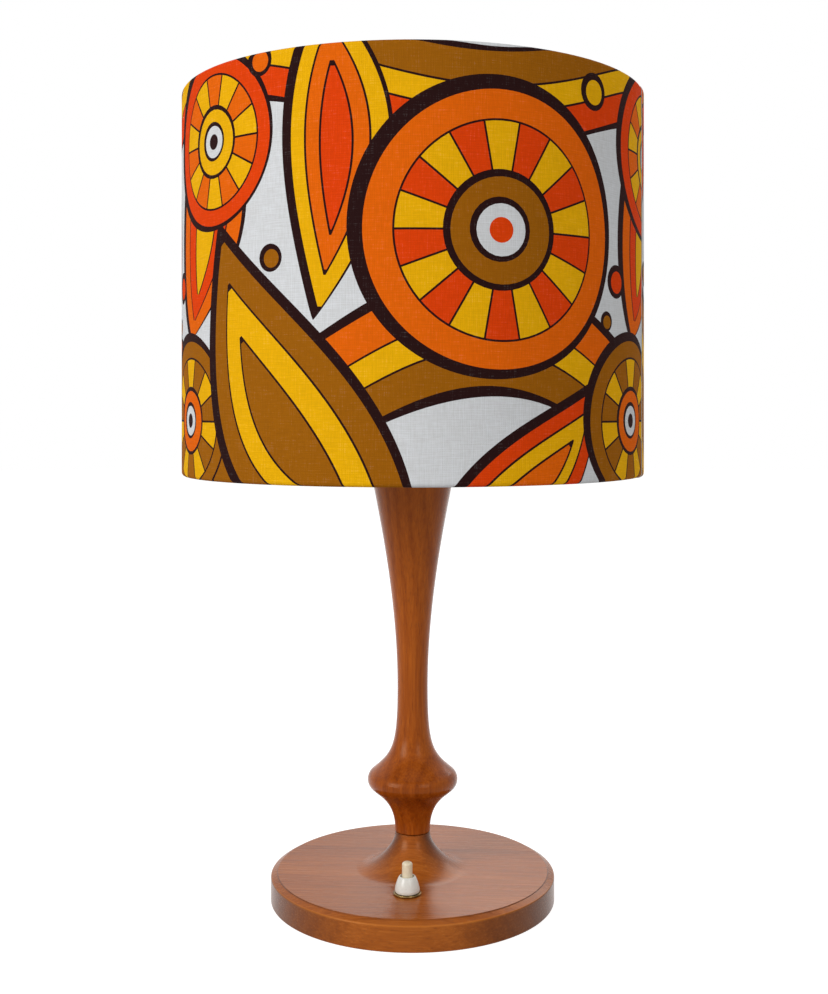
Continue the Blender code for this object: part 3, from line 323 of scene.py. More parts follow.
looks = {
    "teakBase": teakLook("teakBase", "X", (0.213, -0.051, -0.064), teak["base"]),
    "teakStem": teakLook("teakStem", "Z", (-0.046, 0.037, 0.4), teak["stem"]),
    "felt": feltLook("felt", (0.016, 0.036, 0.022), (0.040, 0.078, 0.050)),
    "iron": evenLook("castIron", (0.030, 0.031, 0.033), (0.075, 0.075, 0.078), 0.62, 90.0, 900.0, 0.00018,
                     Metallic=0.7),
    "steel": turnedMetalLook("zincSteel", (0.42, 0.42, 0.43), (0.60, 0.60, 0.61), 0.34, 420.0),
    "brass": turnedMetalLook("agedBrass", (0.42, 0.25, 0.075), (0.76, 0.54, 0.22), 0.26, 420.0),
    # A darker copy of the brass: painted shade for the washer under the switch collar
    "shadedBrass": turnedMetalLook("shadedBrass", (0.090, 0.060, 0.022), (0.400, 0.280, 0.110), 0.24, 420.0),
    "whitePlastic": evenLook("whitePlastic", (0.72, 0.705, 0.64), (0.86, 0.855, 0.80), 0.22, 55.0, 900.0,
                             0.000012),
    "creamPlastic": evenLook("creamPlastic", (0.79, 0.67, 0.46), (0.90, 0.80, 0.60), 0.28, 55.0, 900.0,
                             0.000012),
    "brownPlastic": evenLook("brownPlastic", (0.040, 0.018, 0.010), (0.095, 0.047, 0.026), 0.30),
    "porcelain": evenLook("porcelain", (0.78, 0.77, 0.73), (0.88, 0.87, 0.84), 0.16, 70.0, 500.0, 0.00002,
                          **{"Coat Weight": 0.5, "Coat Roughness": 0.05}),
    "liner": evenLook("liner", (0.72, 0.71, 0.66), (0.80, 0.79, 0.75), 0.42, 12.0, 700.0, 0.00002),
    "whiteEnamel": evenLook("whiteEnamel", (0.70, 0.70, 0.67), (0.80, 0.80, 0.78), 0.36, 60.0, 1100.0,
                            0.00004),
    "opalGlass": evenLook("opalGlass", (0.82, 0.82, 0.80), (0.90, 0.90, 0.88), 0.14, 25.0, 300.0, 0.000004,
                          **{"Coat Weight": 0.6, "Coat Roughness": 0.06}),
    "blackGlass": evenLook("blackGlass", (0.008, 0.008, 0.009), (0.022, 0.022, 0.024), 0.15),
    "brownLead": evenLook("brownLead", (0.075, 0.026, 0.014), (0.155, 0.060, 0.032), 0.42, 200.0),
    "blueLead": evenLook("blueLead", (0.012, 0.040, 0.150), (0.030, 0.095, 0.300), 0.42, 200.0),
    "printedCotton": printedCottonLook("printedCotton"),
}
print("looks made:", len(looks))


# Helpers for meshes

def bend(start, leave, arrive, end, count):
    # Points along a cubic curve, without its start
    curve = []
    for step in range(1, count + 1):
        t = step / count
        parts = ((1 - t) ** 3, 3 * (1 - t) ** 2 * t, 3 * (1 - t) * t ** 2, t ** 3)
        pairs = list(zip(parts, (start, leave, arrive, end)))
        curve.append(tuple(sum(part * corner[axis] for part, corner in pairs) for axis in (0, 1)))
    return curve


def arcPoints(centre, radius, fromDegrees, toDegrees, count):
    sweep = toDegrees - fromDegrees
    angles = [math.radians(fromDegrees + sweep * step / count) for step in range(count + 1)]
    return [(centre[0] + radius * math.cos(angle), centre[1] + radius * math.sin(angle))
            for angle in angles]


def softened(corners, steps=5):
    # Rounds each corner that comes with a third number, its radius
    points = []
    for number, corner in enumerate(corners):
        here = Vector(corner[:2])
        if len(corner) < 3:
            points.append(tuple(here))
            continue
        before = Vector(corners[number - 1][:2]) - here
        after = Vector(corners[(number + 1) % len(corners)][:2]) - here
        half = before.angle(after) / 2
        reach = min(corner[2] / math.tan(half), before.length * 0.49, after.length * 0.49)
        middle = here + (before.normalized() + after.normalized()).normalized() * (reach / math.cos(half))
        first = here + before.normalized() * reach - middle
        last = here + after.normalized() * reach - middle
        start = math.atan2(first.y, first.x)
        sweep = (math.atan2(last.y, last.x) - start + math.pi) % math.tau - math.pi
        for step in range(steps + 1):
            angle = start + sweep * step / steps
            points.append((middle.x + first.length * math.cos(angle),
                           middle.y + first.length * math.sin(angle)))
    return points


def applied(piece):
    # Keeps what the modifiers make and takes them off
    bpy.context.view_layer.update()
    graph = bpy.context.evaluated_depsgraph_get()
    mesh = bpy.data.meshes.new_from_object(piece.evaluated_get(graph), preserve_all_data_layers=True,
                                           depsgraph=graph)
    piece.modifiers.clear()
    piece.data = mesh
    return piece


def shaded(piece, sharpDegrees=32):
    mesh = piece.data
    mesh.polygons.foreach_set("use_smooth", [True] * len(mesh.polygons))
    mesh.set_sharp_from_angle(angle=math.radians(sharpDegrees))
    even = piece.modifiers.new("evenShading", "WEIGHTED_NORMAL")
    even.keep_sharp = True
    return applied(piece)


def addPiece(name, points, faces):
    # Points come in millimetres, and the mesh gets metres
    mesh = bpy.data.meshes.new(name)
    mesh.from_pydata([tuple(value * mm for value in point) for point in points], [], faces)
    shell = bmesh.new()
    shell.from_mesh(mesh)
    bmesh.ops.recalc_face_normals(shell, faces=shell.faces)
    shell.to_mesh(mesh)
    shell.free()
    return linked(name, mesh)


def spun(name, outline, steps, at=(0, 0, 0), tilt=None, shape=None):
    # Turns a closed outline of (radius, height) round an upright line
    points, faces, rings = [], [], []
    for radius, height in outline:
        ring = []
        if radius < 0.001:
            ring = [len(points)] * steps
            points.append((0.0, 0.0, height))
        else:
            for step in range(steps):
                angle = math.tau * step / steps
                reach = shape(angle, radius, height) if shape else radius
                ring.append(len(points))
                points.append((reach * math.cos(angle), reach * math.sin(angle), height))
        rings.append(ring)
    for number, ring in enumerate(rings):
        following = rings[(number + 1) % len(rings)]
        for step in range(steps):
            corners = [ring[step], ring[(step + 1) % steps], following[(step + 1) % steps], following[step]]
            corners = list(dict.fromkeys(corners))
            if len(corners) > 2:
                faces.append(corners)
    move = Matrix.Translation(at) @ (tilt or Matrix())
    return addPiece(name, [tuple(move @ Vector(point)) for point in points], faces)


def smoothPath(stops, count):
    # A curve through all the stops that keeps close to the straight line between two of them
    stops = [Vector(stop) for stop in stops]
    path = [stops[0]]
    for number in range(len(stops) - 1):
        before = stops[max(number - 1, 0)]
        start, end = stops[number], stops[number + 1]
        after = stops[min(number + 2, len(stops) - 1)]
        span = (end - start).length
        leave = (end - before).normalized() * span * 0.33
        arrive = (after - start).normalized() * span * 0.33
        for step in range(1, count + 1):
            t = step / count
            path.append(start * (1 - t) ** 3 + (start + leave) * 3 * (1 - t) ** 2 * t
                        + (end - arrive) * 3 * (1 - t) * t ** 2 + end * t ** 3)
    return path


def tubeMesh(path, radius, sides):
    # Points and faces of a closed tube along a path
    points, faces = [], []
    lead = (path[1] - path[0]).normalized()
    side = lead.orthogonal().normalized()
    for number, spot in enumerate(path):
        ahead = (path[min(number + 1, len(path) - 1)] - path[max(number - 1, 0)]).normalized()
        side = (side - ahead * side.dot(ahead)).normalized()
        other = ahead.cross(side)
        for step in range(sides):
            angle = math.tau * step / sides
            points.append(tuple(spot + (side * math.cos(angle) + other * math.sin(angle)) * radius))
    for number in range(len(path) - 1):
        low, high = number * sides, (number + 1) * sides
        for step in range(sides):
            nextStep = (step + 1) % sides
            faces.append([low + step, low + nextStep, high + nextStep, high + step])
    faces.append(list(range(sides - 1, -1, -1)))
    faces.append([(len(path) - 1) * sides + step for step in range(sides)])
    return points, faces


def tube(name, path, radius, sides=12):
    return addPiece(name, *tubeMesh(path, radius, sides))


def merged(name, parts):
    # Several shells as one piece
    shell = bmesh.new()
    for part in parts:
        shell.from_mesh(part.data)
    mesh = bpy.data.meshes.new(name)
    shell.to_mesh(mesh)
    shell.free()
    for part in parts:
        bpy.data.objects.remove(part)
    return linked(name, mesh)


def bored(piece, cutters):
    for cutter in cutters:
        cut = piece.modifiers.new("bore", "BOOLEAN")
        cut.operation = "DIFFERENCE"
        cut.solver = "EXACT"
        cut.object = cutter
    applied(piece)
    for cutter in cutters:
        bpy.data.objects.remove(cutter)
    return piece


def drill(name, radius, low, high, at=(0, 0, 0), tilt=None, steps=48):
    return spun(name, [(0, low), (radius, low), (radius, high), (0, high)], steps, at, tilt)


def dressed(piece, lookName, nodes, body="lamp"):
    piece.data.materials.clear()
    piece.data.materials.append(looks[lookName])
    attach(piece, body)
    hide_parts(*nodes)
    return piece


backwards = Matrix.Rotation(math.radians(-90), 4, "X")  # turns an upright piece to point to the back


# The base: one turned disc with its collar and cove, and the band inside its rim

base = {
    "radius": 92.9, "top": 18.4, "arris": 15.9, "arrisRound": 0.9, "band": 4.3, "quirk": 0.5,
    "rise": 0.15, "rim": 4.6, "rebate": 2.3, "recess": 66.0, "recessTop": 13.0,
    "nutPocket": 14.0, "pocketTop": 15.4, "tubeHole": 5.3, "mortise": 8.3, "mortiseFloor": 24.4,
    "collar": 11.5, "collarTop": 42.4, "collarRound": 0.5, "coveSpread": 26.0, "coveHeight": 24.0,
    "coveEase": 0.42, "switchAt": 48.0, "switchPocket": 12.0, "neckHole": 5.3, "inlet": 4.9, "inletAt": 9.1,
    "pilots": [(45.0, 90.0), (45.0, 210.0), (45.0, 330.0)], "pilotRadius": 1.7, "pilotDepth": 3.5,
    "steps": 192,
}


def turnedBase(sizes):
    radius, top = sizes["radius"], sizes["top"]
    coveFoot = sizes["collar"] + sizes["coveSpread"]
    coveStart = (sizes["collar"], sizes["collarTop"] - sizes["collarRound"])
    corners = [(sizes["mortise"], sizes["collarTop"], 0.25)]
    corners += [(sizes["collar"], sizes["collarTop"], sizes["collarRound"])]
    coveLeave = (sizes["collar"], sizes["collarTop"] - sizes["coveHeight"] * sizes["coveEase"])
    coveArrive = (coveFoot - sizes["coveSpread"] * sizes["coveEase"], top)
    corners += bend(coveStart, coveLeave, coveArrive, (coveFoot, top), 36)
    bandRadius = radius - sizes["band"]
    corners += [(bandRadius, top, 0.22), (bandRadius + 0.05, top - sizes["quirk"], 0.12)]
    corners += [(radius, sizes["arris"], sizes["arrisRound"])]
    corners += [(radius, sizes["rise"], 0.6), (radius - sizes["rim"], sizes["rise"], 0.3)]
    corners += [(radius - sizes["rim"], sizes["rebate"]), (sizes["recess"], sizes["rebate"], 0.3),
                (sizes["recess"], sizes["recessTop"]), (sizes["nutPocket"], sizes["recessTop"], 0.3),
                (sizes["nutPocket"], sizes["pocketTop"]), (sizes["tubeHole"], sizes["pocketTop"]),
                (sizes["tubeHole"], sizes["mortiseFloor"]), (sizes["mortise"], sizes["mortiseFloor"])]
    disc = spun("turnedBase", softened(corners), sizes["steps"])
    ahead = (0, -sizes["switchAt"], 0)
    cutters = [drill("pocketCutter", sizes["switchPocket"], sizes["rebate"] - 2, sizes["pocketTop"], ahead),
               drill("neckCutter", sizes["neckHole"], sizes["pocketTop"] - 1, top + 3, ahead)]
    cutters.append(drill("inletCutter", sizes["inlet"], sizes["recess"] - 4, radius + 4,
                         (0, 0, sizes["inletAt"]), backwards))
    for reach, degrees in sizes["pilots"]:
        spot = (reach * math.cos(math.radians(degrees)), reach * math.sin(math.radians(degrees)), 0)
        cutters.append(drill("pilotCutter", sizes["pilotRadius"], sizes["recessTop"] - 1,
                             sizes["recessTop"] + sizes["pilotDepth"], spot, None, 16))
    bored(disc, cutters)
    return shaded(disc)


dressed(turnedBase(base), "teakBase", ["base_disc"])
print("base turned")


# The stem: tenon, neck, knop, waist and the flare under the shade

stem = {
    "foot": 42.7, "top": 283.3, "tube": 5.3, "topRadius": 28.1, "topRound": 1.5, "topEase": 33.4,
    "topSlope": 0.189, "waist": 10.0, "waistAt": 138.3, "waistAbove": 55.1, "waistBelow": 40.0,
    "knop": 29.6, "knopAt": 76.8, "nose": 7.4, "upperAngle": 50.5, "lowerAngle": 40.0,
    "upperEase": 17.8, "lowerEase": 6.4, "neck": 11.5, "neckEase": 19.6, "footRound": 0.5,
    "tenon": 8.0, "tenonFoot": 24.7, "tenonBevel": 0.8, "steps": 144,
}


def turnedStem(sizes):
    nose = (sizes["knop"] - sizes["nose"], sizes["knopAt"])
    upper, lower = math.radians(sizes["upperAngle"]), math.radians(sizes["lowerAngle"])
    topPoint = (sizes["topRadius"], sizes["top"] - sizes["topRound"])
    waistPoint = (sizes["waist"], sizes["waistAt"])
    outline = [(sizes["tube"], sizes["top"])]
    outline += arcPoints((sizes["topRadius"] - sizes["topRound"], sizes["top"] - sizes["topRound"]),
                         sizes["topRound"], 90, 4, 6)
    outline += bend(topPoint, (sizes["topRadius"] - sizes["topSlope"] * sizes["topEase"],
                               sizes["top"] - sizes["topEase"]),
                    (sizes["waist"], sizes["waistAt"] + sizes["waistAbove"]), waistPoint, 44)
    noseArc = arcPoints(nose, sizes["nose"], sizes["upperAngle"], -sizes["lowerAngle"], 18)
    outline += bend(waistPoint, (sizes["waist"], sizes["waistAt"] - sizes["waistBelow"]),
                    (noseArc[0][0] - math.sin(upper) * sizes["upperEase"],
                     noseArc[0][1] + math.cos(upper) * sizes["upperEase"]), noseArc[0], 40)
    outline += noseArc[1:]
    neckFoot = (sizes["neck"], sizes["foot"] + sizes["footRound"])
    outline += bend(noseArc[-1], (noseArc[-1][0] - math.sin(lower) * sizes["lowerEase"],
                                  noseArc[-1][1] - math.cos(lower) * sizes["lowerEase"]),
                    (sizes["neck"], neckFoot[1] + sizes["neckEase"]), neckFoot, 30)
    outline += arcPoints((sizes["neck"] - sizes["footRound"], neckFoot[1]), sizes["footRound"], -15, -90, 4)
    outline += [(sizes["tenon"], sizes["foot"]),
                (sizes["tenon"], sizes["tenonFoot"] + sizes["tenonBevel"]),
                (sizes["tenon"] - sizes["tenonBevel"], sizes["tenonFoot"]),
                (sizes["tube"], sizes["tenonFoot"])]
    return shaded(spun("turnedStem", outline, sizes["steps"]))


dressed(turnedStem(stem), "teakStem", ["stem"])
print("stem turned")


# The push switch in the front of the base

switch = {
    "at": (0, -48.0, 0),
    "washer": 8.7, "washerLow": 18.7, "washerHigh": 19.7, "neck": 5.3,
    "collar": 7.75, "collarLow": 19.9, "collarHigh": 29.7, "belly": 21.6, "lip": 0.45, "mouth": 4.7,
    "bore": 4.4, "boreDepth": 1.5, "throat": 3.6, "shoulder": 27.0,
    "button": 3.25, "buttonTop": 38.8, "buttonDome": 0.7, "buttonRound": 1.3,
    "stop": 5.0, "stopLow": 12.4, "stopHigh": 13.6, "springBore": 2.0, "springBoreTop": 26.0,
    "steps": 96,
}


def switchPieces(sizes):
    at, steps = sizes["at"], sizes["steps"]
    low, high = sizes["washerLow"], sizes["washerHigh"]
    outline = softened([(sizes["neck"], high, 0.1), (sizes["washer"], high, 0.28),
                        (sizes["washer"], low, 0.2), (sizes["neck"], low, 0.1)])
    # The washer takes the darker brass, painted shade under the collar
    dressed(shaded(spun("switchWasher", outline, steps, at)), "shadedBrass", ["switch_washer"])

    low, high = sizes["collarLow"], sizes["collarHigh"]
    belly, lip = sizes["belly"], sizes["lip"]
    outline = [(sizes["throat"], high - sizes["boreDepth"]), (sizes["bore"], high - sizes["boreDepth"])]
    outline += arcPoints((sizes["mouth"], high - 0.3), 0.3, 180, 80, 5)
    outline += bend(outline[-1], (sizes["mouth"] + 0.75, high - 0.35), (sizes["collar"] - 0.75, belly + 4.6),
                    (sizes["collar"], belly), 28)
    outline += bend((sizes["collar"], belly), (sizes["collar"], belly - 1.0),
                    (sizes["collar"] - lip * 0.3, low + 0.2), (sizes["collar"] - lip, low), 10)
    outline += [(sizes["neck"], low), (sizes["neck"], sizes["shoulder"]),
                (sizes["throat"], sizes["shoulder"])]
    dressed(shaded(spun("switchCollar", outline, steps, at)), "whitePlastic",
            ["switch_collar"])

    top, edge = sizes["buttonTop"], sizes["buttonRound"]
    shoulder = top - sizes["buttonDome"]
    outline = [(0, top)] + bend((0, top), (sizes["button"] * 0.45, top), (sizes["button"], shoulder),
                                (sizes["button"], shoulder - edge), 18)
    outline += [(sizes["button"], sizes["stopHigh"]), (sizes["stop"], sizes["stopHigh"]),
                (sizes["stop"], sizes["stopLow"]), (sizes["springBore"], sizes["stopLow"]),
                (sizes["springBore"], sizes["springBoreTop"]), (0, sizes["springBoreTop"])]
    dressed(shaded(spun("pushButton", outline, steps, at)), "creamPlastic",
            ["push_button"], "button")


switchPieces(switch)

spring = {"at": (0, -48.0), "low": 8.6, "high": 25.7, "radius": 1.55, "wire": 0.22, "turns": 6, "flat": 0.9}


def buttonSpring(sizes):
    # A compression spring with closed ends
    path = []
    count = 28 * sizes["turns"]
    low, high = sizes["low"] + sizes["wire"], sizes["high"] - sizes["wire"]
    rest = sizes["flat"] * sizes["wire"] * 2
    for step in range(count + 1):
        turn = sizes["turns"] * step / count
        share = min(max((turn - sizes["flat"]) / (sizes["turns"] - 2 * sizes["flat"]), 0), 1)
        flatPart = min(turn, sizes["flat"]) + max(turn - sizes["turns"] + sizes["flat"], 0)
        climb = low + flatPart * sizes["wire"] * 2 + share * (high - low - 2 * rest)
        angle = math.tau * turn
        path.append(Vector((sizes["at"][0] + sizes["radius"] * math.cos(angle),
                            sizes["at"][1] + sizes["radius"] * math.sin(angle), climb)))
    return tube("buttonSpring", path, sizes["wire"], 8)


coil = dressed(shaded(buttonSpring(spring), 60), "steel", ["button_spring"])
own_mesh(coil)
print("switch made")


# The felt foot and the bush in the cord inlet

foot = {"radius": 88.0, "thick": 2.0, "fray": 0.12, "steps": 180}


def feltFoot(sizes):
    outline = softened([(0, sizes["thick"]), (sizes["radius"], sizes["thick"], 0.5),
                        (sizes["radius"], 0, 0.35), (0, 0)])

    def fray(angle, radius, height):
        # A cut edge that wanders a little
        wander = (math.sin(angle * 37) * 0.5 + math.sin(angle * 61 + 1.3) * 0.3
                  + math.sin(angle * 13 + 0.4) * 0.2)
        return radius + (sizes["fray"] * wander - sizes["fray"] if radius > 80 else 0)

    return shaded(spun("feltFoot", outline, sizes["steps"], shape=fray))


pad = dressed(feltFoot(foot), "felt", ["felt_pad"])

bush = {"bore": 3.5, "radius": 4.6, "flange": 6.0, "inner": 66.0, "seat": 93.2, "outer": 94.8, "up": 9.1}


def cableBush(sizes):
    outline = softened([(sizes["bore"], sizes["outer"], 0.7), (sizes["flange"], sizes["outer"], 0.6),
                        (sizes["flange"], sizes["seat"], 0.1), (sizes["radius"], sizes["seat"]),
                        (sizes["radius"], sizes["inner"], 0.3), (sizes["bore"], sizes["inner"], 0.3)])
    return shaded(spun("cableBush", outline, 64, (0, 0, sizes["up"]), backwards))


dressed(cableBush(bush), "brownPlastic", ["cable_bush"])
print("foot and bush made")


# The lampholder and the bulb

holder = {
    "capRadius": 19.0, "capLow": 283.6, "capHigh": 285.6, "tube": 5.3,
    "dome": 21.0, "domeLow": 290.2, "domeHeight": 19.0, "domeStraight": 7.0, "wall": 2.0, "floor": 3.0,
    "boss": 8.5, "bossHeight": 3.5,
    "bodyLow": 309.5, "flange": 23.5, "flangeThick": 2.5, "thread": 19.8, "threadLength": 16.5,
    "threadDepth": 0.55, "threadPitch": 1.65, "ridgeHalf": 0.45, "crestHalf": 0.2,
    "nose": 18.4, "bodyHeight": 36.0, "bore": 16.0, "ledge": 9.1,
    "skirt": 5.0, "insert": 17.3, "steps": 96,
}


def holderPieces(sizes):
    steps = sizes["steps"]
    cap = softened([(sizes["tube"], sizes["capHigh"], 0.3), (sizes["capRadius"], sizes["capHigh"], 0.8),
                    (sizes["capRadius"], sizes["capLow"], 0.2), (sizes["tube"], sizes["capLow"], 0.2)])
    dressed(shaded(spun("stemCap", cap, steps)), "brass", ["stem_cap"])

    low = sizes["domeLow"]
    top, bossTop = low + sizes["domeHeight"], low + sizes["bossHeight"]
    wallFoot = top - sizes["domeStraight"]
    bendAt = (wallFoot + bossTop) / 2
    inner = sizes["dome"] - sizes["wall"]
    outline = [(sizes["dome"] - 0.25, top), (sizes["dome"], top - 0.25), (sizes["dome"], wallFoot)]
    outline += bend(outline[-1], (sizes["dome"], bendAt), (sizes["dome"], bossTop),
                    (sizes["boss"], bossTop), 16)
    outline += [(sizes["boss"], low + 0.4), (sizes["boss"] - 0.4, low), (sizes["tube"], low)]
    innerBoss = sizes["boss"] - sizes["wall"]
    outline += [(sizes["tube"], low + sizes["floor"]), (innerBoss, low + sizes["floor"])]
    outline += bend(outline[-1], (innerBoss, bossTop + sizes["wall"]), (inner, bendAt),
                    (inner, wallFoot), 12)
    outline += [(inner, top)]
    dressed(shaded(spun("holderDome", outline, steps)), "whitePlastic", ["holder_dome"])

    foot = sizes["bodyLow"]
    flangeTop = foot + sizes["flangeThick"]
    threadTop = flangeTop + sizes["threadLength"]
    bodyTop = foot + sizes["bodyHeight"]
    root = sizes["thread"] - sizes["threadDepth"]
    corners = [(sizes["bore"], bodyTop, 0.5), (sizes["nose"], bodyTop, 0.8),
               (sizes["nose"], threadTop + 0.3, 0.2), (root, threadTop - 0.3)]
    turns = int(sizes["threadLength"] / sizes["threadPitch"]) - 1
    for number in range(turns):
        ridge = threadTop - sizes["threadPitch"] * (number + 0.75)
        corners += [(root, ridge + sizes["ridgeHalf"], 0.1),
                    (sizes["thread"], ridge + sizes["crestHalf"], 0.15),
                    (sizes["thread"], ridge - sizes["crestHalf"], 0.15),
                    (root, ridge - sizes["ridgeHalf"], 0.1)]
    skirtRadius = inner - 0.3
    corners += [(root, flangeTop), (sizes["flange"], flangeTop, 0.6),
                (sizes["flange"], foot, 0.6), (skirtRadius, foot), (skirtRadius, foot - sizes["skirt"], 0.3),
                (sizes["insert"], foot - sizes["skirt"]), (sizes["insert"], foot + sizes["ledge"]),
                (sizes["bore"], foot + sizes["ledge"])]
    dressed(shaded(spun("holderBody", softened(corners, 3), steps)), "whitePlastic",
            ["holder_body"])


holderPieces(holder)

bulb = {
    "cap": 13.1, "capLow": 327.0, "capHigh": 349.2, "capWall": 0.4, "neckIn": 9.0, "threadPitch": 3.6,
    "threadDepth": 0.9, "threadTop": 3.4, "threadFoot": 3.0, "threadSteps": 44,
    "glass": 30.0, "glassLow": 338.2,
    "glassHigh": 425.2, "glassWall": 0.9, "neck": 12.4, "neckEase": 0.68, "steps": 96,
}


def bulbPieces(sizes):
    low, high, wall = sizes["capLow"], sizes["capHigh"], sizes["capWall"]
    outer = [(sizes["cap"], high)]
    threadHigh, threadLow = high - sizes["threadTop"], low + sizes["threadFoot"]
    for step in range(sizes["threadSteps"] + 1):
        height = threadHigh + (threadLow - threadHigh) * step / sizes["threadSteps"]
        wave = 0.5 + 0.5 * math.cos(math.tau * (threadHigh - height) / sizes["threadPitch"])
        outer.append((sizes["cap"] - sizes["threadDepth"] * (1 - wave) * 0.9, height))
    outer += [(sizes["cap"] - 0.3, low + 1.8), (sizes["neckIn"] + 1.6, low)]
    inner = [(radius - wall, max(height, low + wall)) for radius, height in reversed(outer)]
    outline = outer + [(sizes["neckIn"], low), (sizes["neckIn"], low + wall)] + inner
    dressed(shaded(spun("bulbCap", outline, sizes["steps"])), "brass", ["bulb_cap"])

    globe = sizes["glassHigh"] - sizes["glass"]
    ease = (globe - high) * sizes["neckEase"]

    def skin(inset):
        dome = arcPoints((0, globe), sizes["glass"] - inset, 90, 0, 26)
        dome[0] = (0, dome[0][1])
        return dome + bend(dome[-1], (dome[-1][0], globe - ease), (sizes["neck"] - inset, high + ease),
                           (sizes["neck"] - inset, high), 26) + [(sizes["neck"] - inset, sizes["glassLow"])]

    outline = skin(0) + list(reversed(skin(sizes["glassWall"])))
    dressed(shaded(spun("bulbGlass", outline, sizes["steps"])), "opalGlass", ["bulb_glass"])


bulbPieces(bulb)
print("lampholder and bulb made")


# The shade: wire frame, clamp ring, lining and printed cotton

shade = {
    "radius": 150.0, "low": 277.7, "high": 522.7, "cotton": 0.5, "hem": 8.0,
    "linerOut": 149.2, "linerIn": 148.7, "ring": 147.15, "ringWire": 1.25, "hemIn": 145.1,
    "armWire": 1.6, "armAngles": (90.0, 210.0, 330.0), "armStart": 28.3, "armBend": 41.5, "armFall": 135.0,
    "fitterLow": 312.3, "fitterHigh": 313.8, "fitterOut": 29.5, "fitterIn": 20.1,
    "seamDegrees": -11.0, "seamWidth": 12.0, "seamLift": 0.42, "seamEase": 6.0,
    "tuck": 0.12, "tuckEase": 4.0, "notch": 6.2, "notchShort": 0.35, "columns": 144, "rollSteps": 8,
}
shade["roll"] = (shade["radius"] - shade["hemIn"]) / 2
shade["rollAt"] = shade["radius"] - shade["roll"]
shade["lowRoll"] = shade["low"] + shade["roll"]
shade["highRoll"] = shade["high"] - shade["roll"]


def wireRing(name, height):
    wire = arcPoints((shade["ring"], height), shade["ringWire"], 0, 337.5, 15)
    return spun(name, wire, 180)


def shadeFrame(sizes):
    top = shaded(wireRing("shadeRingTop", sizes["highRoll"]), 80)
    dressed(top, "whiteEnamel", ["shade_ring_top"])

    parts = [wireRing("lowerRing", sizes["lowRoll"])]
    parts.append(spun("fitterRing", softened([(sizes["fitterIn"], sizes["fitterHigh"], 0.4),
                                              (sizes["fitterOut"], sizes["fitterHigh"], 0.4),
                                              (sizes["fitterOut"], sizes["fitterLow"], 0.4),
                                              (sizes["fitterIn"], sizes["fitterLow"], 0.4)]), 96))
    armTop = (sizes["fitterLow"] + sizes["fitterHigh"]) / 2
    for degrees in sizes["armAngles"]:
        turn = Matrix.Rotation(math.radians(degrees), 3, "Z")
        run = [(sizes["armStart"], armTop), (sizes["armBend"] - 5, armTop),
               (sizes["armBend"] + 2, armTop - 1.0), (sizes["armFall"] - 3, sizes["lowRoll"] + 1.7),
               (sizes["armFall"] + 3, sizes["lowRoll"] + 0.6), (sizes["ring"], sizes["lowRoll"])]
        path = smoothPath([turn @ Vector((reach, 0, height)) for reach, height in run], 8)
        parts.append(tube("frameArm", path, sizes["armWire"], 14))
    carrier = shaded(merged("shadeCarrier", parts), 50)
    dressed(carrier, "whiteEnamel", ["shade_carrier"])


shadeFrame(shade)

clampRing = {"low": 314.1, "high": 320.1, "radius": 26.8, "bore": 20.1, "scallop": 0.7, "count": 12}


def clamp(sizes):
    outline = softened([(sizes["bore"], sizes["high"], 0.4), (sizes["radius"], sizes["high"], 0.9),
                        (sizes["radius"], sizes["low"], 0.5), (sizes["bore"], sizes["low"], 0.4)])

    def grip(angle, radius, height):
        share = (radius - sizes["bore"]) / (sizes["radius"] - sizes["bore"])
        return radius - sizes["scallop"] * (1 - math.cos(sizes["count"] * angle)) * max(share, 0) ** 3

    return shaded(spun("clampRing", outline, 192, shape=grip))


dressed(clamp(clampRing), "whitePlastic", ["shade_clamp_ring"])


def shadeLiner(sizes):
    outline = [(sizes["linerIn"], sizes["highRoll"]), (sizes["linerOut"], sizes["highRoll"]),
               (sizes["linerOut"], sizes["lowRoll"]), (sizes["linerIn"], sizes["lowRoll"])]
    return shaded(spun("shadeLiner", outline, 180))


lining = dressed(shadeLiner(shade), "liner", ["shade_liner"])
print("frame and lining of the shade made")


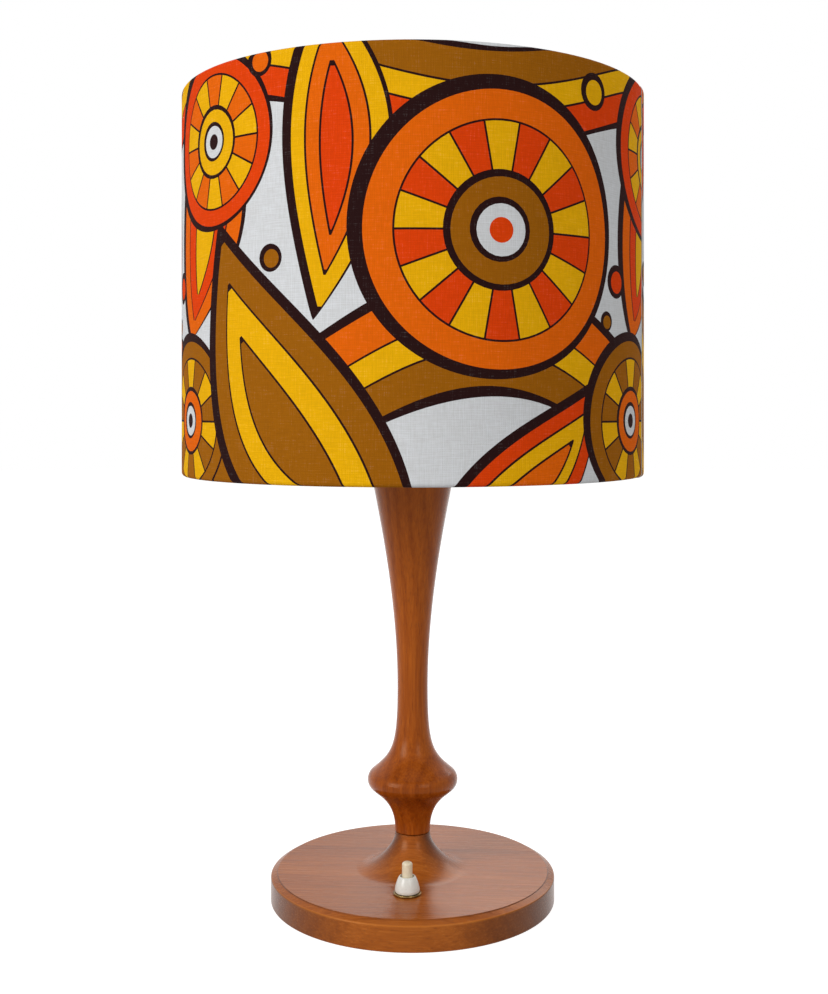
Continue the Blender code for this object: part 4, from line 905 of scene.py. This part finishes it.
# The print is drawn flat, in millimetres: across from the middle of the front, and up from the lower edge
inks = {
    "white": (0.770, 0.790, 0.820),
    "ochre": (0.385, 0.128, 0.003),
    "yellow": (0.960, 0.500, 0.002),
    "orange": (0.900, 0.150, 0.002),
    "red": (0.860, 0.062, 0.002),
    "ink": (0.022, 0.006, 0.006),
}
design = {
    "repeat": 330.0,
    "ribbons": [
        {"middle": 56, "swing": 30, "shift": 30, "stripes": (("ochre", 20), ("yellow", 16), ("orange", 22))},
        {"middle": 232, "swing": 17, "shift": 196, "stripes": (("red", 16), ("yellow", 13), ("ochre", 18))},
    ],
    "suns": [
        {"at": (60, 142), "size": 84, "rings": ("orange", "red", "ochre", "white", "red"), "rays": 18,
         "rayInk": "yellow"},
        {"at": (171, 36), "size": 52, "rings": ("ochre", "yellow", "orange", "white", "ink"), "rays": 14,
         "rayInk": "ochre"},
        {"at": (-124, 200), "size": 54, "rings": ("red", "orange", "yellow", "white", "ink"), "rays": 14,
         "rayInk": "yellow"},
    ],
    "leaves": [
        {"foot": (172, 84), "tip": (190, 262), "wide": 84, "bow": 16, "fills": ("orange", "red", "yellow")},
        {"foot": (10, -34), "tip": (-118, 152), "wide": 104, "bow": -24,
         "fills": ("ochre", "yellow", "ochre")},
        {"foot": (-40, 272), "tip": (-46, 92), "wide": 66, "bow": -10, "fills": ("yellow", "orange", "red")},
        {"foot": (24, -22), "tip": (132, 62), "wide": 58, "bow": 14, "fills": ("red", "yellow", "orange")},
    ],
    "line": 1.3,
    # A leaf's layers: which of its fills, pulled in by a share of its width and by a length, and its slide
    "leafLayers": [("ink", 0, 0, (0.0, 0.0)), (0, 0.062, 0, (1.8, -1.4)), ("ink", 0.20, 0, (1.0, -2.0)),
                   (1, 0.20, 1.3, (1.0, -2.0)), ("ink", 0.345, 0, (0.6, -4.0)),
                   (2, 0.345, 1.3, (0.6, -4.0))],
    # A sun's discs under and over its rays: which of its rings, its slide, and its share of the size
    "sunUnder": [("ink", (-2.2, 1.3), 1, 0), (0, (0, 0), 0.92, 0), ("ink", (1.0, -0.5), 0.72, 1.2),
                 (1, (1.0, -0.5), 0.72, 0)],
    "sunOver": [("ink", (0.6, -0.3), 0.40, 0), (2, (1.0, -0.6), 0.355, 0), ("ink", (0, 0), 0.215, 0),
                (3, (0.5, -0.3), 0.175, 0), (4, (0.5, -0.3), 0.085, 0)],
    "rayFrom": 0.34, "rayTo": 0.72, "rayAt": (1.0, -0.5),
    "pebbles": [(-82, 240, 9, "orange"), (-74, 128, 8, "ochre"), (126, 226, 11, "yellow"),
                (150, 118, 10, "red"), (139, 94, 6, "ochre")],
}


def circleShape(centre, radius, count=0):
    count = count or max(24, int(radius * 1.5))
    return [(centre[0] + radius * math.cos(math.tau * step / count),
             centre[1] + radius * math.sin(math.tau * step / count)) for step in range(count)]


def rayShape(centre, inner, outer, middle, half, trim):
    # A wedge of a ring, narrower by trim on both sides
    points = []
    for radius, sign in ((inner, 1), (outer, -1)):
        reach = half - trim / radius
        for step in range(5):
            angle = middle - sign * reach + sign * 2 * reach * step / 4
            points.append((centre[0] + radius * math.cos(angle), centre[1] + radius * math.sin(angle)))
    return points


def leafShape(leaf, slim, slide):
    # A leaf along a bowed line, pulled in by slim all round
    footPoint, tipPoint = Vector(leaf["foot"]), Vector(leaf["tip"])
    along = tipPoint - footPoint
    across = Vector((along.y, -along.x)).normalized()
    right, left = [], []
    for step in range(61):
        t = step / 60
        half = leaf["wide"] / 2 * math.sin(math.pi * t ** 0.82) ** 0.9 - slim if 0 < t < 1 else -slim
        if half < 0 or (slim and half < 0.15):
            continue
        spot = footPoint + along * t + across * (leaf["bow"] * 4 * t * (1 - t)) + Vector(slide)
        right.append(tuple(spot + across * half))
        left.append(tuple(spot - across * half))
    outline = right + list(reversed(left))
    return [point for number, point in enumerate(outline)
            if (Vector(point) - Vector(outline[number - 1])).length > 0.02]


def ribbonShape(ribbon, low, high, thin, thick, across):
    # A stripe of a swinging ribbon; its edges swell from thin to thick
    def edge(offset, sign):
        points = []
        for spot in across:
            phase = math.tau * (spot + ribbon["shift"]) / design["repeat"]
            swell = thin + (thick - thin) * (0.5 + 0.5 * math.sin(phase * 2 + sign))
            middle = ribbon["middle"] + ribbon["swing"] * math.sin(phase)
            points.append((spot, middle + offset + sign * swell))
        return points
    return edge(low, -1) + list(reversed(edge(high, 1)))


def printShapes(start, end):
    # Every shape of the print from the lowest layer to the top one
    shapes = []
    line = design["line"]
    across = np.arange(start - 8, end + 14, 6.0).tolist()
    for ribbon in design["ribbons"]:
        whole = sum(width for name, width in ribbon["stripes"]) + line * (len(ribbon["stripes"]) - 1)
        shapes.append(("ink", ribbonShape(ribbon, -whole / 2, whole / 2, 2.6, 6.2, across)))
        low = -whole / 2
        for name, width in ribbon["stripes"]:
            shapes.append((name, ribbonShape(ribbon, low, low + width, 0, 0, across)))
            low += width + line

    def addDiscs(layers, sun, spot):
        for ring, slide, share, extra in layers:
            centre = (spot[0] + slide[0], spot[1] + slide[1])
            name = ring if ring == "ink" else sun["rings"][ring]
            shapes.append((name, circleShape(centre, sun["size"] * share + extra)))

    repeats = range(math.floor(start / design["repeat"]) - 1, math.ceil(end / design["repeat"]) + 2)
    for number in repeats:
        move = number * design["repeat"]
        for leaf in design["leaves"]:
            moved = dict(leaf, foot=(leaf["foot"][0] + move, leaf["foot"][1]),
                         tip=(leaf["tip"][0] + move, leaf["tip"][1]))
            for fill, share, inset, slide in design["leafLayers"]:
                name = fill if fill == "ink" else leaf["fills"][fill]
                shapes.append((name, leafShape(moved, leaf["wide"] * share + inset, slide)))
        for sun in design["suns"]:
            spot = (sun["at"][0] + move, sun["at"][1])
            addDiscs(design["sunUnder"], sun, spot)
            middleOfRays = (spot[0] + design["rayAt"][0], spot[1] + design["rayAt"][1])
            inner, outer = sun["size"] * design["rayFrom"], sun["size"] * design["rayTo"]
            half = math.pi / sun["rays"]
            for ray in range(0, sun["rays"], 2):
                middle = math.tau * (ray + 0.5) / sun["rays"]
                shapes.append(("ink", rayShape(middleOfRays, inner, outer + 0.3, middle, half, -0.7)))
                shapes.append((sun["rayInk"], rayShape(middleOfRays, inner, outer, middle, half, 0.5)))
            addDiscs(design["sunOver"], sun, spot)
        for right, up, radius, name in design["pebbles"]:
            shapes.append(("ink", circleShape((right + move, up), radius)))
            shapes.append((name, circleShape((right + move + 0.6, up - 0.4), radius * 0.66)))
    reach = shade["high"] - shade["low"] + 30
    return [(name, points) for name, points in shapes
            if max(point[0] for point in points) > start and min(point[0] for point in points) < end
            and max(point[1] for point in points) > -20 and min(point[1] for point in points) < reach]


def insideShape(points, acrossValues, upValues):
    # Even-odd test of many places at once
    inside = np.zeros(len(acrossValues), bool)
    beforeAcross, beforeUp = points[-1]
    for hereAcross, hereUp in points:
        crosses = (hereUp > upValues) != (beforeUp > upValues)
        if crosses.any() and hereUp != beforeUp:
            meets = (beforeAcross - hereAcross) * (upValues - hereUp) / (beforeUp - hereUp) + hereAcross
            inside ^= crosses & (acrossValues < meets)
        beforeAcross, beforeUp = hereAcross, hereUp
    return inside


def clothProfile(sizes, along):
    # Place and outward direction on the cotton, from the lower hem's edge round to the upper hem's edge
    hem, roll = sizes["hem"], sizes["roll"]
    turnLength = math.pi * roll
    face = sizes["highRoll"] - sizes["lowRoll"]
    if along <= hem:
        return sizes["hemIn"], sizes["lowRoll"] + hem - along, -1.0, 0.0
    along -= hem
    if along < turnLength:
        angle = math.pi + along / roll
        return (sizes["rollAt"] + roll * math.cos(angle), sizes["lowRoll"] + roll * math.sin(angle),
                math.cos(angle), math.sin(angle))
    along -= turnLength
    if along <= face:
        return sizes["radius"], sizes["lowRoll"] + along, 1.0, 0.0
    along -= face
    if along < turnLength:
        angle = along / roll
        return (sizes["rollAt"] + roll * math.cos(angle), sizes["highRoll"] + roll * math.sin(angle),
                math.cos(angle), math.sin(angle))
    return sizes["hemIn"], sizes["highRoll"] - (along - turnLength), -1.0, 0.0


def eased(share):
    share = min(max(share, 0.0), 1.0)
    return share * share * (3 - 2 * share)


def printedCover(sizes):
    # One strip of cotton, cut out flat with its print, then wrapped round with its ends overlapped
    radius, hem, roll = sizes["radius"], sizes["hem"], sizes["roll"]
    seamMiddle = math.radians(90 + sizes["seamDegrees"]) * radius
    end = seamMiddle + sizes["seamWidth"] / 2
    start = seamMiddle - sizes["seamWidth"] / 2 - math.tau * radius
    turnLength = math.pi * roll
    face = sizes["highRoll"] - sizes["lowRoll"]
    total = 2 * hem + 2 * turnLength + face
    lift = hem + turnLength - roll  # from a height over the lower edge to a place along the strip

    points, edges = [], []

    def addLoop(loop, closed=True):
        first = len(points)
        points.extend(Vector(point) for point in loop)
        last = len(points) - 1
        edges.extend((number, number + 1) for number in range(first, last))
        if closed:
            edges.append((last, first))

    addLoop([(start, 0), (end, 0), (end, total), (start, total)])
    width = math.tau * radius / sizes["columns"]
    firstColumn = math.ceil((start + 1) / width)
    lastColumn = math.floor((end - 1) / width)
    for number in range(firstColumn, lastColumn + 1):
        addLoop([(number * width, 0), (number * width, total)], False)
    lapEnd = start + sizes["seamWidth"]
    for extra in (start + 1.0, lapEnd, lapEnd + sizes["seamEase"] / 2, lapEnd + sizes["seamEase"],
                  end - sizes["seamWidth"] - sizes["tuckEase"]):
        addLoop([(extra, 0), (extra, total)], False)
    for number in range(sizes["rollSteps"] + 1):
        row = hem + turnLength * number / sizes["rollSteps"]
        addLoop([(start, row), (end, row)], False)
        addLoop([(start, total - row), (end, total - row)], False)
    notches = []
    for degrees in sizes["armAngles"]:
        middle = math.radians((degrees + 90) % 360) * radius
        middle -= math.tau * radius if middle > end - sizes["seamWidth"] * 2 else 0
        half = sizes["notch"] / 2
        depth = hem + turnLength / 2 - sizes["notchShort"]
        notch = [(middle - half, 0), (middle + half, 0), (middle + half, depth), (middle - half, depth)]
        notches.append(notch)
        addLoop(notch)
    shapes = [(name, [(right, up + lift) for right, up in loop]) for name, loop in printShapes(start, end)]
    for name, loop in shapes:
        addLoop(loop)

    flat, flatEdges, triangles, *rest = delaunay_2d_cdt(points, edges, [], 0, 0.001)
    flat = np.array([tuple(point) for point in flat])
    triangles = np.array([tuple(face) for face in triangles if len(face) == 3])
    centres = flat[triangles].mean(axis=1)
    sides = flat[triangles]
    areas = np.abs(np.cross(sides[:, 1] - sides[:, 0], sides[:, 2] - sides[:, 0]))
    keep = (centres[:, 0] > start) & (centres[:, 0] < end) & (centres[:, 1] > 0) & (centres[:, 1] < total)
    keep &= areas > 0.0
    for notch in notches:
        keep &= ~insideShape(notch, centres[:, 0], centres[:, 1])
    triangles, centres = triangles[keep], centres[keep]
    names = list(inks)
    colours = np.full(len(triangles), names.index("white"))
    for name, loop in shapes:
        right = np.array(loop)
        near = np.where((centres[:, 0] > right[:, 0].min()) & (centres[:, 0] < right[:, 0].max()))[0]
        inside = insideShape(loop, centres[near, 0], centres[near, 1])
        colours[near[inside]] = names.index(name)
    used, triangles = np.unique(triangles, return_inverse=True)
    triangles = triangles.reshape(-1, 3)
    flat = flat[used]
    print("print cut into", len(triangles), "triangles")

    def lifted(across):
        # The first end lies over the last one
        over = 1 - eased((across - start - sizes["seamWidth"]) / sizes["seamEase"])
        under = eased((across - end + sizes["seamWidth"] + sizes["tuckEase"]) / sizes["tuckEase"])
        return sizes["seamLift"] * over - sizes["tuck"] * under

    outer, inner, facing = [], [], []
    for across, along in flat:
        reach, height, outward, upward = clothProfile(sizes, along)
        angle = across / radius - math.pi / 2
        turn = (math.cos(angle), math.sin(angle))
        for depth, target in ((lifted(across), outer), (lifted(across) - sizes["cotton"], inner)):
            away = reach + outward * depth
            target.append((away * turn[0], away * turn[1], height + upward * depth))
        facing.append((outward * turn[0], outward * turn[1], upward))

    count = len(flat)
    order = triangles if np.cross(flat[triangles[0, 1]] - flat[triangles[0, 0]],
                                  flat[triangles[0, 2]] - flat[triangles[0, 0]]) > 0 else triangles[:, ::-1]
    tally = {}
    for face in order:
        for first, second in ((face[0], face[1]), (face[1], face[2]), (face[2], face[0])):
            key = (min(first, second), max(first, second))
            tally.setdefault(key, []).append((first, second))
    rim = [pairs[0] for pairs in tally.values() if len(pairs) == 1]
    faces = [tuple(int(corner) for corner in face) for face in order]
    faces += [tuple(int(corner) + count for corner in reversed(face)) for face in order]
    faces += [(int(second), int(first), int(first) + count, int(second) + count) for first, second in rim]

    mesh = bpy.data.meshes.new("shadeCover")
    mesh.from_pydata([tuple(value * mm for value in point) for point in outer + inner], [], faces)
    cornerPoint = np.empty(len(mesh.loops), int)
    mesh.loops.foreach_get("vertex_index", cornerPoint)
    place = flat[cornerPoint % count] * mm
    layer = mesh.uv_layers.new(name="cloth")
    layer.data.foreach_set("uv", place.ravel())

    palette = np.array([(*inks[name], 1.0) for name in names])
    faceColours = palette[colours]
    through = cloth["showsThrough"]
    backColours = faceColours * through + np.array((*cloth["thread"], 1.0)) * (1 - through)
    rimColours = np.tile(np.array((*cloth["cutEdge"], 1.0)), (len(rim), 1))
    corners = np.vstack([np.repeat(faceColours, 3, axis=0), np.repeat(backColours, 3, axis=0),
                         np.repeat(rimColours, 4, axis=0)])
    stain = mesh.color_attributes.new(name="print", type="FLOAT_COLOR", domain="CORNER")
    stain.data.foreach_set("color", corners.ravel())

    facing = np.array(facing)
    normals = np.empty((len(mesh.loops), 3))
    skinLoops = len(order) * 3
    normals[:skinLoops] = facing[cornerPoint[:skinLoops]]
    normals[skinLoops:skinLoops * 2] = -facing[cornerPoint[skinLoops:skinLoops * 2] - count]
    mesh.polygons.foreach_set("use_smooth", [True] * len(mesh.polygons))
    for face in list(mesh.polygons)[len(order) * 2:]:
        for corner in face.loop_indices:
            normals[corner] = face.normal
    mesh.normals_split_custom_set(normals.tolist())
    mesh.update()
    return linked("shadeCover", mesh), (end - start) * mm, total * mm


cover, clothLength, clothHeight = printedCover(shade)
dressed(cover, "printedCotton", ["shade_cover"])
print("shade covered, cloth", round(clothLength * 1000), "by", round(clothHeight * 1000), "mm")


# The leads inside the lamp

leads = {
    "radius": 1.1,
    "runs": {
        "wire_live": ("brownLead", "brown_lead", [
            (5, 43.75, 9), (5, 30.5, 9), (10, 15, 6.15), (12, 0, 3.95), (10, -17, 4.35),
            (10, -30.5, 4.35), (11.8, -44, 8.37), (11.8, -46.2, 8.37)]),
        "wire_switched": ("brownLead", "brown_lead", [
            (-11.8, -46.2, 8.37), (-11.8, -44, 8.37), (-10, -30.5, 4.35), (-10, -17, 4.35),
            (-1.4, -5, 3.95),
            (1.4, -0.7, 7.58), (1.4, 0, 14.4), (1.4, 0, 163), (1.4, 0, 290.7), (1.4, 0, 295.7),
            (4.6, 0, 299.35), (7.8, 0, 301.8), (7.8, 0, 304.25)]),
        "wire_neutral": ("blueLead", "blue_lead", [
            (-5, 43.75, 9), (-5, 30.5, 9), (-5, 15, 6.15), (-1.4, 5, 3.95), (-1.4, 0.7, 7.58),
            (-1.4, 0, 14.4), (-1.4, 0, 163), (-1.4, 0, 290.7), (-1.4, 0, 295.7),
            (-4.6, 0, 299.35), (-7.8, 0, 301.8),
            (-7.8, 0, 304.25)]),
    },
}
for node, (lookName, slotName, stops) in leads["runs"].items():
    lead = tube(node.replace("wire_", "lead_"), smoothPath(stops, 6), leads["radius"], 12)
    dressed(shaded(lead, 50), lookName, [node])
print("leads laid")


# CAD nodes that stay, each with its own finish

carriedOver = {
    "iron": ["ballast_plate"],
    "steel": ["ballast_screw_1", "ballast_screw_2", "ballast_screw_3", "threaded_tube", "base_washer",
              "base_nut", "top_nut", "bulb_contact", "block_fixing_screw"],
    "porcelain": ["holder_insert"],
    "brass": ["holder_shell", "holder_contact", "holder_terminal_1", "holder_terminal_2", "rotor_bridge",
              "switch_contact_1", "switch_contact_2"],
    "blackGlass": ["bulb_insulator"],
    "brownPlastic": ["switch_housing", "switch_cover", "switch_rotor"],
    "whitePlastic": ["terminal_block"],
}


def finishNodes():
    chosen = {node: lookName for lookName, nodes in carriedOver.items() for node in nodes}
    for name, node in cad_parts.items():
        lookName = chosen.get(name, "steel" if "screw" in name else "brass")
        for place in node.material_slots:
            place.material = looks[lookName]
        if not node.material_slots:
            node.data.materials.append(looks[lookName])


finishNodes()
print("finishes set on", len(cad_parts), "nodes")


# Floor, daylight and lamps

studio = {
    "floorRadius": 6.0,      # metres
    "floorUnder": 0.00005,
    "floor": (0.55, 0.55, 0.55),
    "floorGlow": 0.84,
    "sky": 0.40,
    "key": {"at": (-1.55, -1.49, 1.05), "size": (1.1, 1.2), "power": 27.0},
    "fill": {"at": (1.32, -1.76, 1.20), "size": (0.8, 1.1), "power": 9.0},
    "back": {"at": (0.50, 2.00, 1.60), "size": (1.8, 1.2), "power": 18.0},
    "aim": (0, 0, 0.27),
}


def softLamp(name, settings):
    light = bpy.data.lights.new(name, "AREA")
    light.shape = "RECTANGLE"
    light.size, light.size_y = settings["size"]
    light.energy = settings["power"]
    lamp = linked(name, light)
    lamp.location = settings["at"]
    lamp.visible_camera = False
    gaze = Vector(studio["aim"]) - Vector(settings["at"])
    lamp.rotation_euler = gaze.to_track_quat("-Z", "Y").to_euler()


def studioFloor():
    points = [(*spot, 0) for spot in circleShape((0, 0), studio["floorRadius"] / mm, 96)]
    floor = addPiece("studioFloor", points, [list(range(len(points)))])
    for point in floor.data.vertices:
        point.co.z = -studio["floorUnder"]
    look = bpy.data.materials.new("floorPaper")
    look.use_nodes = True
    tree = look.node_tree
    tree.nodes.clear()
    paper = addNode(tree, "BsdfDiffuse", {"Color": (*studio["floor"], 1)})
    glow = addNode(tree, "Emission", {"Color": (1, 1, 1, 1)})
    strength = reckon(tree, "MULTIPLY", plainlySeen(tree), studio["floorGlow"])
    tree.links.new(strength, glow.inputs["Strength"])
    both = addNode(tree, "AddShader")
    tree.links.new(paper.outputs[0], both.inputs[0])
    tree.links.new(glow.outputs[0], both.inputs[1])
    end = addNode(tree, "OutputMaterial")
    tree.links.new(both.outputs[0], end.inputs["Surface"])
    floor.data.materials.append(look)


def studioSky():
    sky = bpy.data.worlds.new("studioSky")
    scene.world = sky
    sky.use_nodes = True
    tree = sky.node_tree
    tree.nodes.clear()
    level = spread(tree, plainlySeen(tree), 0, 1, studio["sky"], 1.0)
    glow = addNode(tree, "Background", {"Color": (1, 1, 1, 1), "Strength": level})
    end = addNode(tree, "OutputWorld")
    tree.links.new(glow.outputs[0], end.inputs["Surface"])


studioFloor()
studioSky()
for lampName in ("key", "fill", "back"):
    softLamp(lampName + "Lamp", studio[lampName])
scene.view_settings.view_transform = "Standard"
print("studio lit")
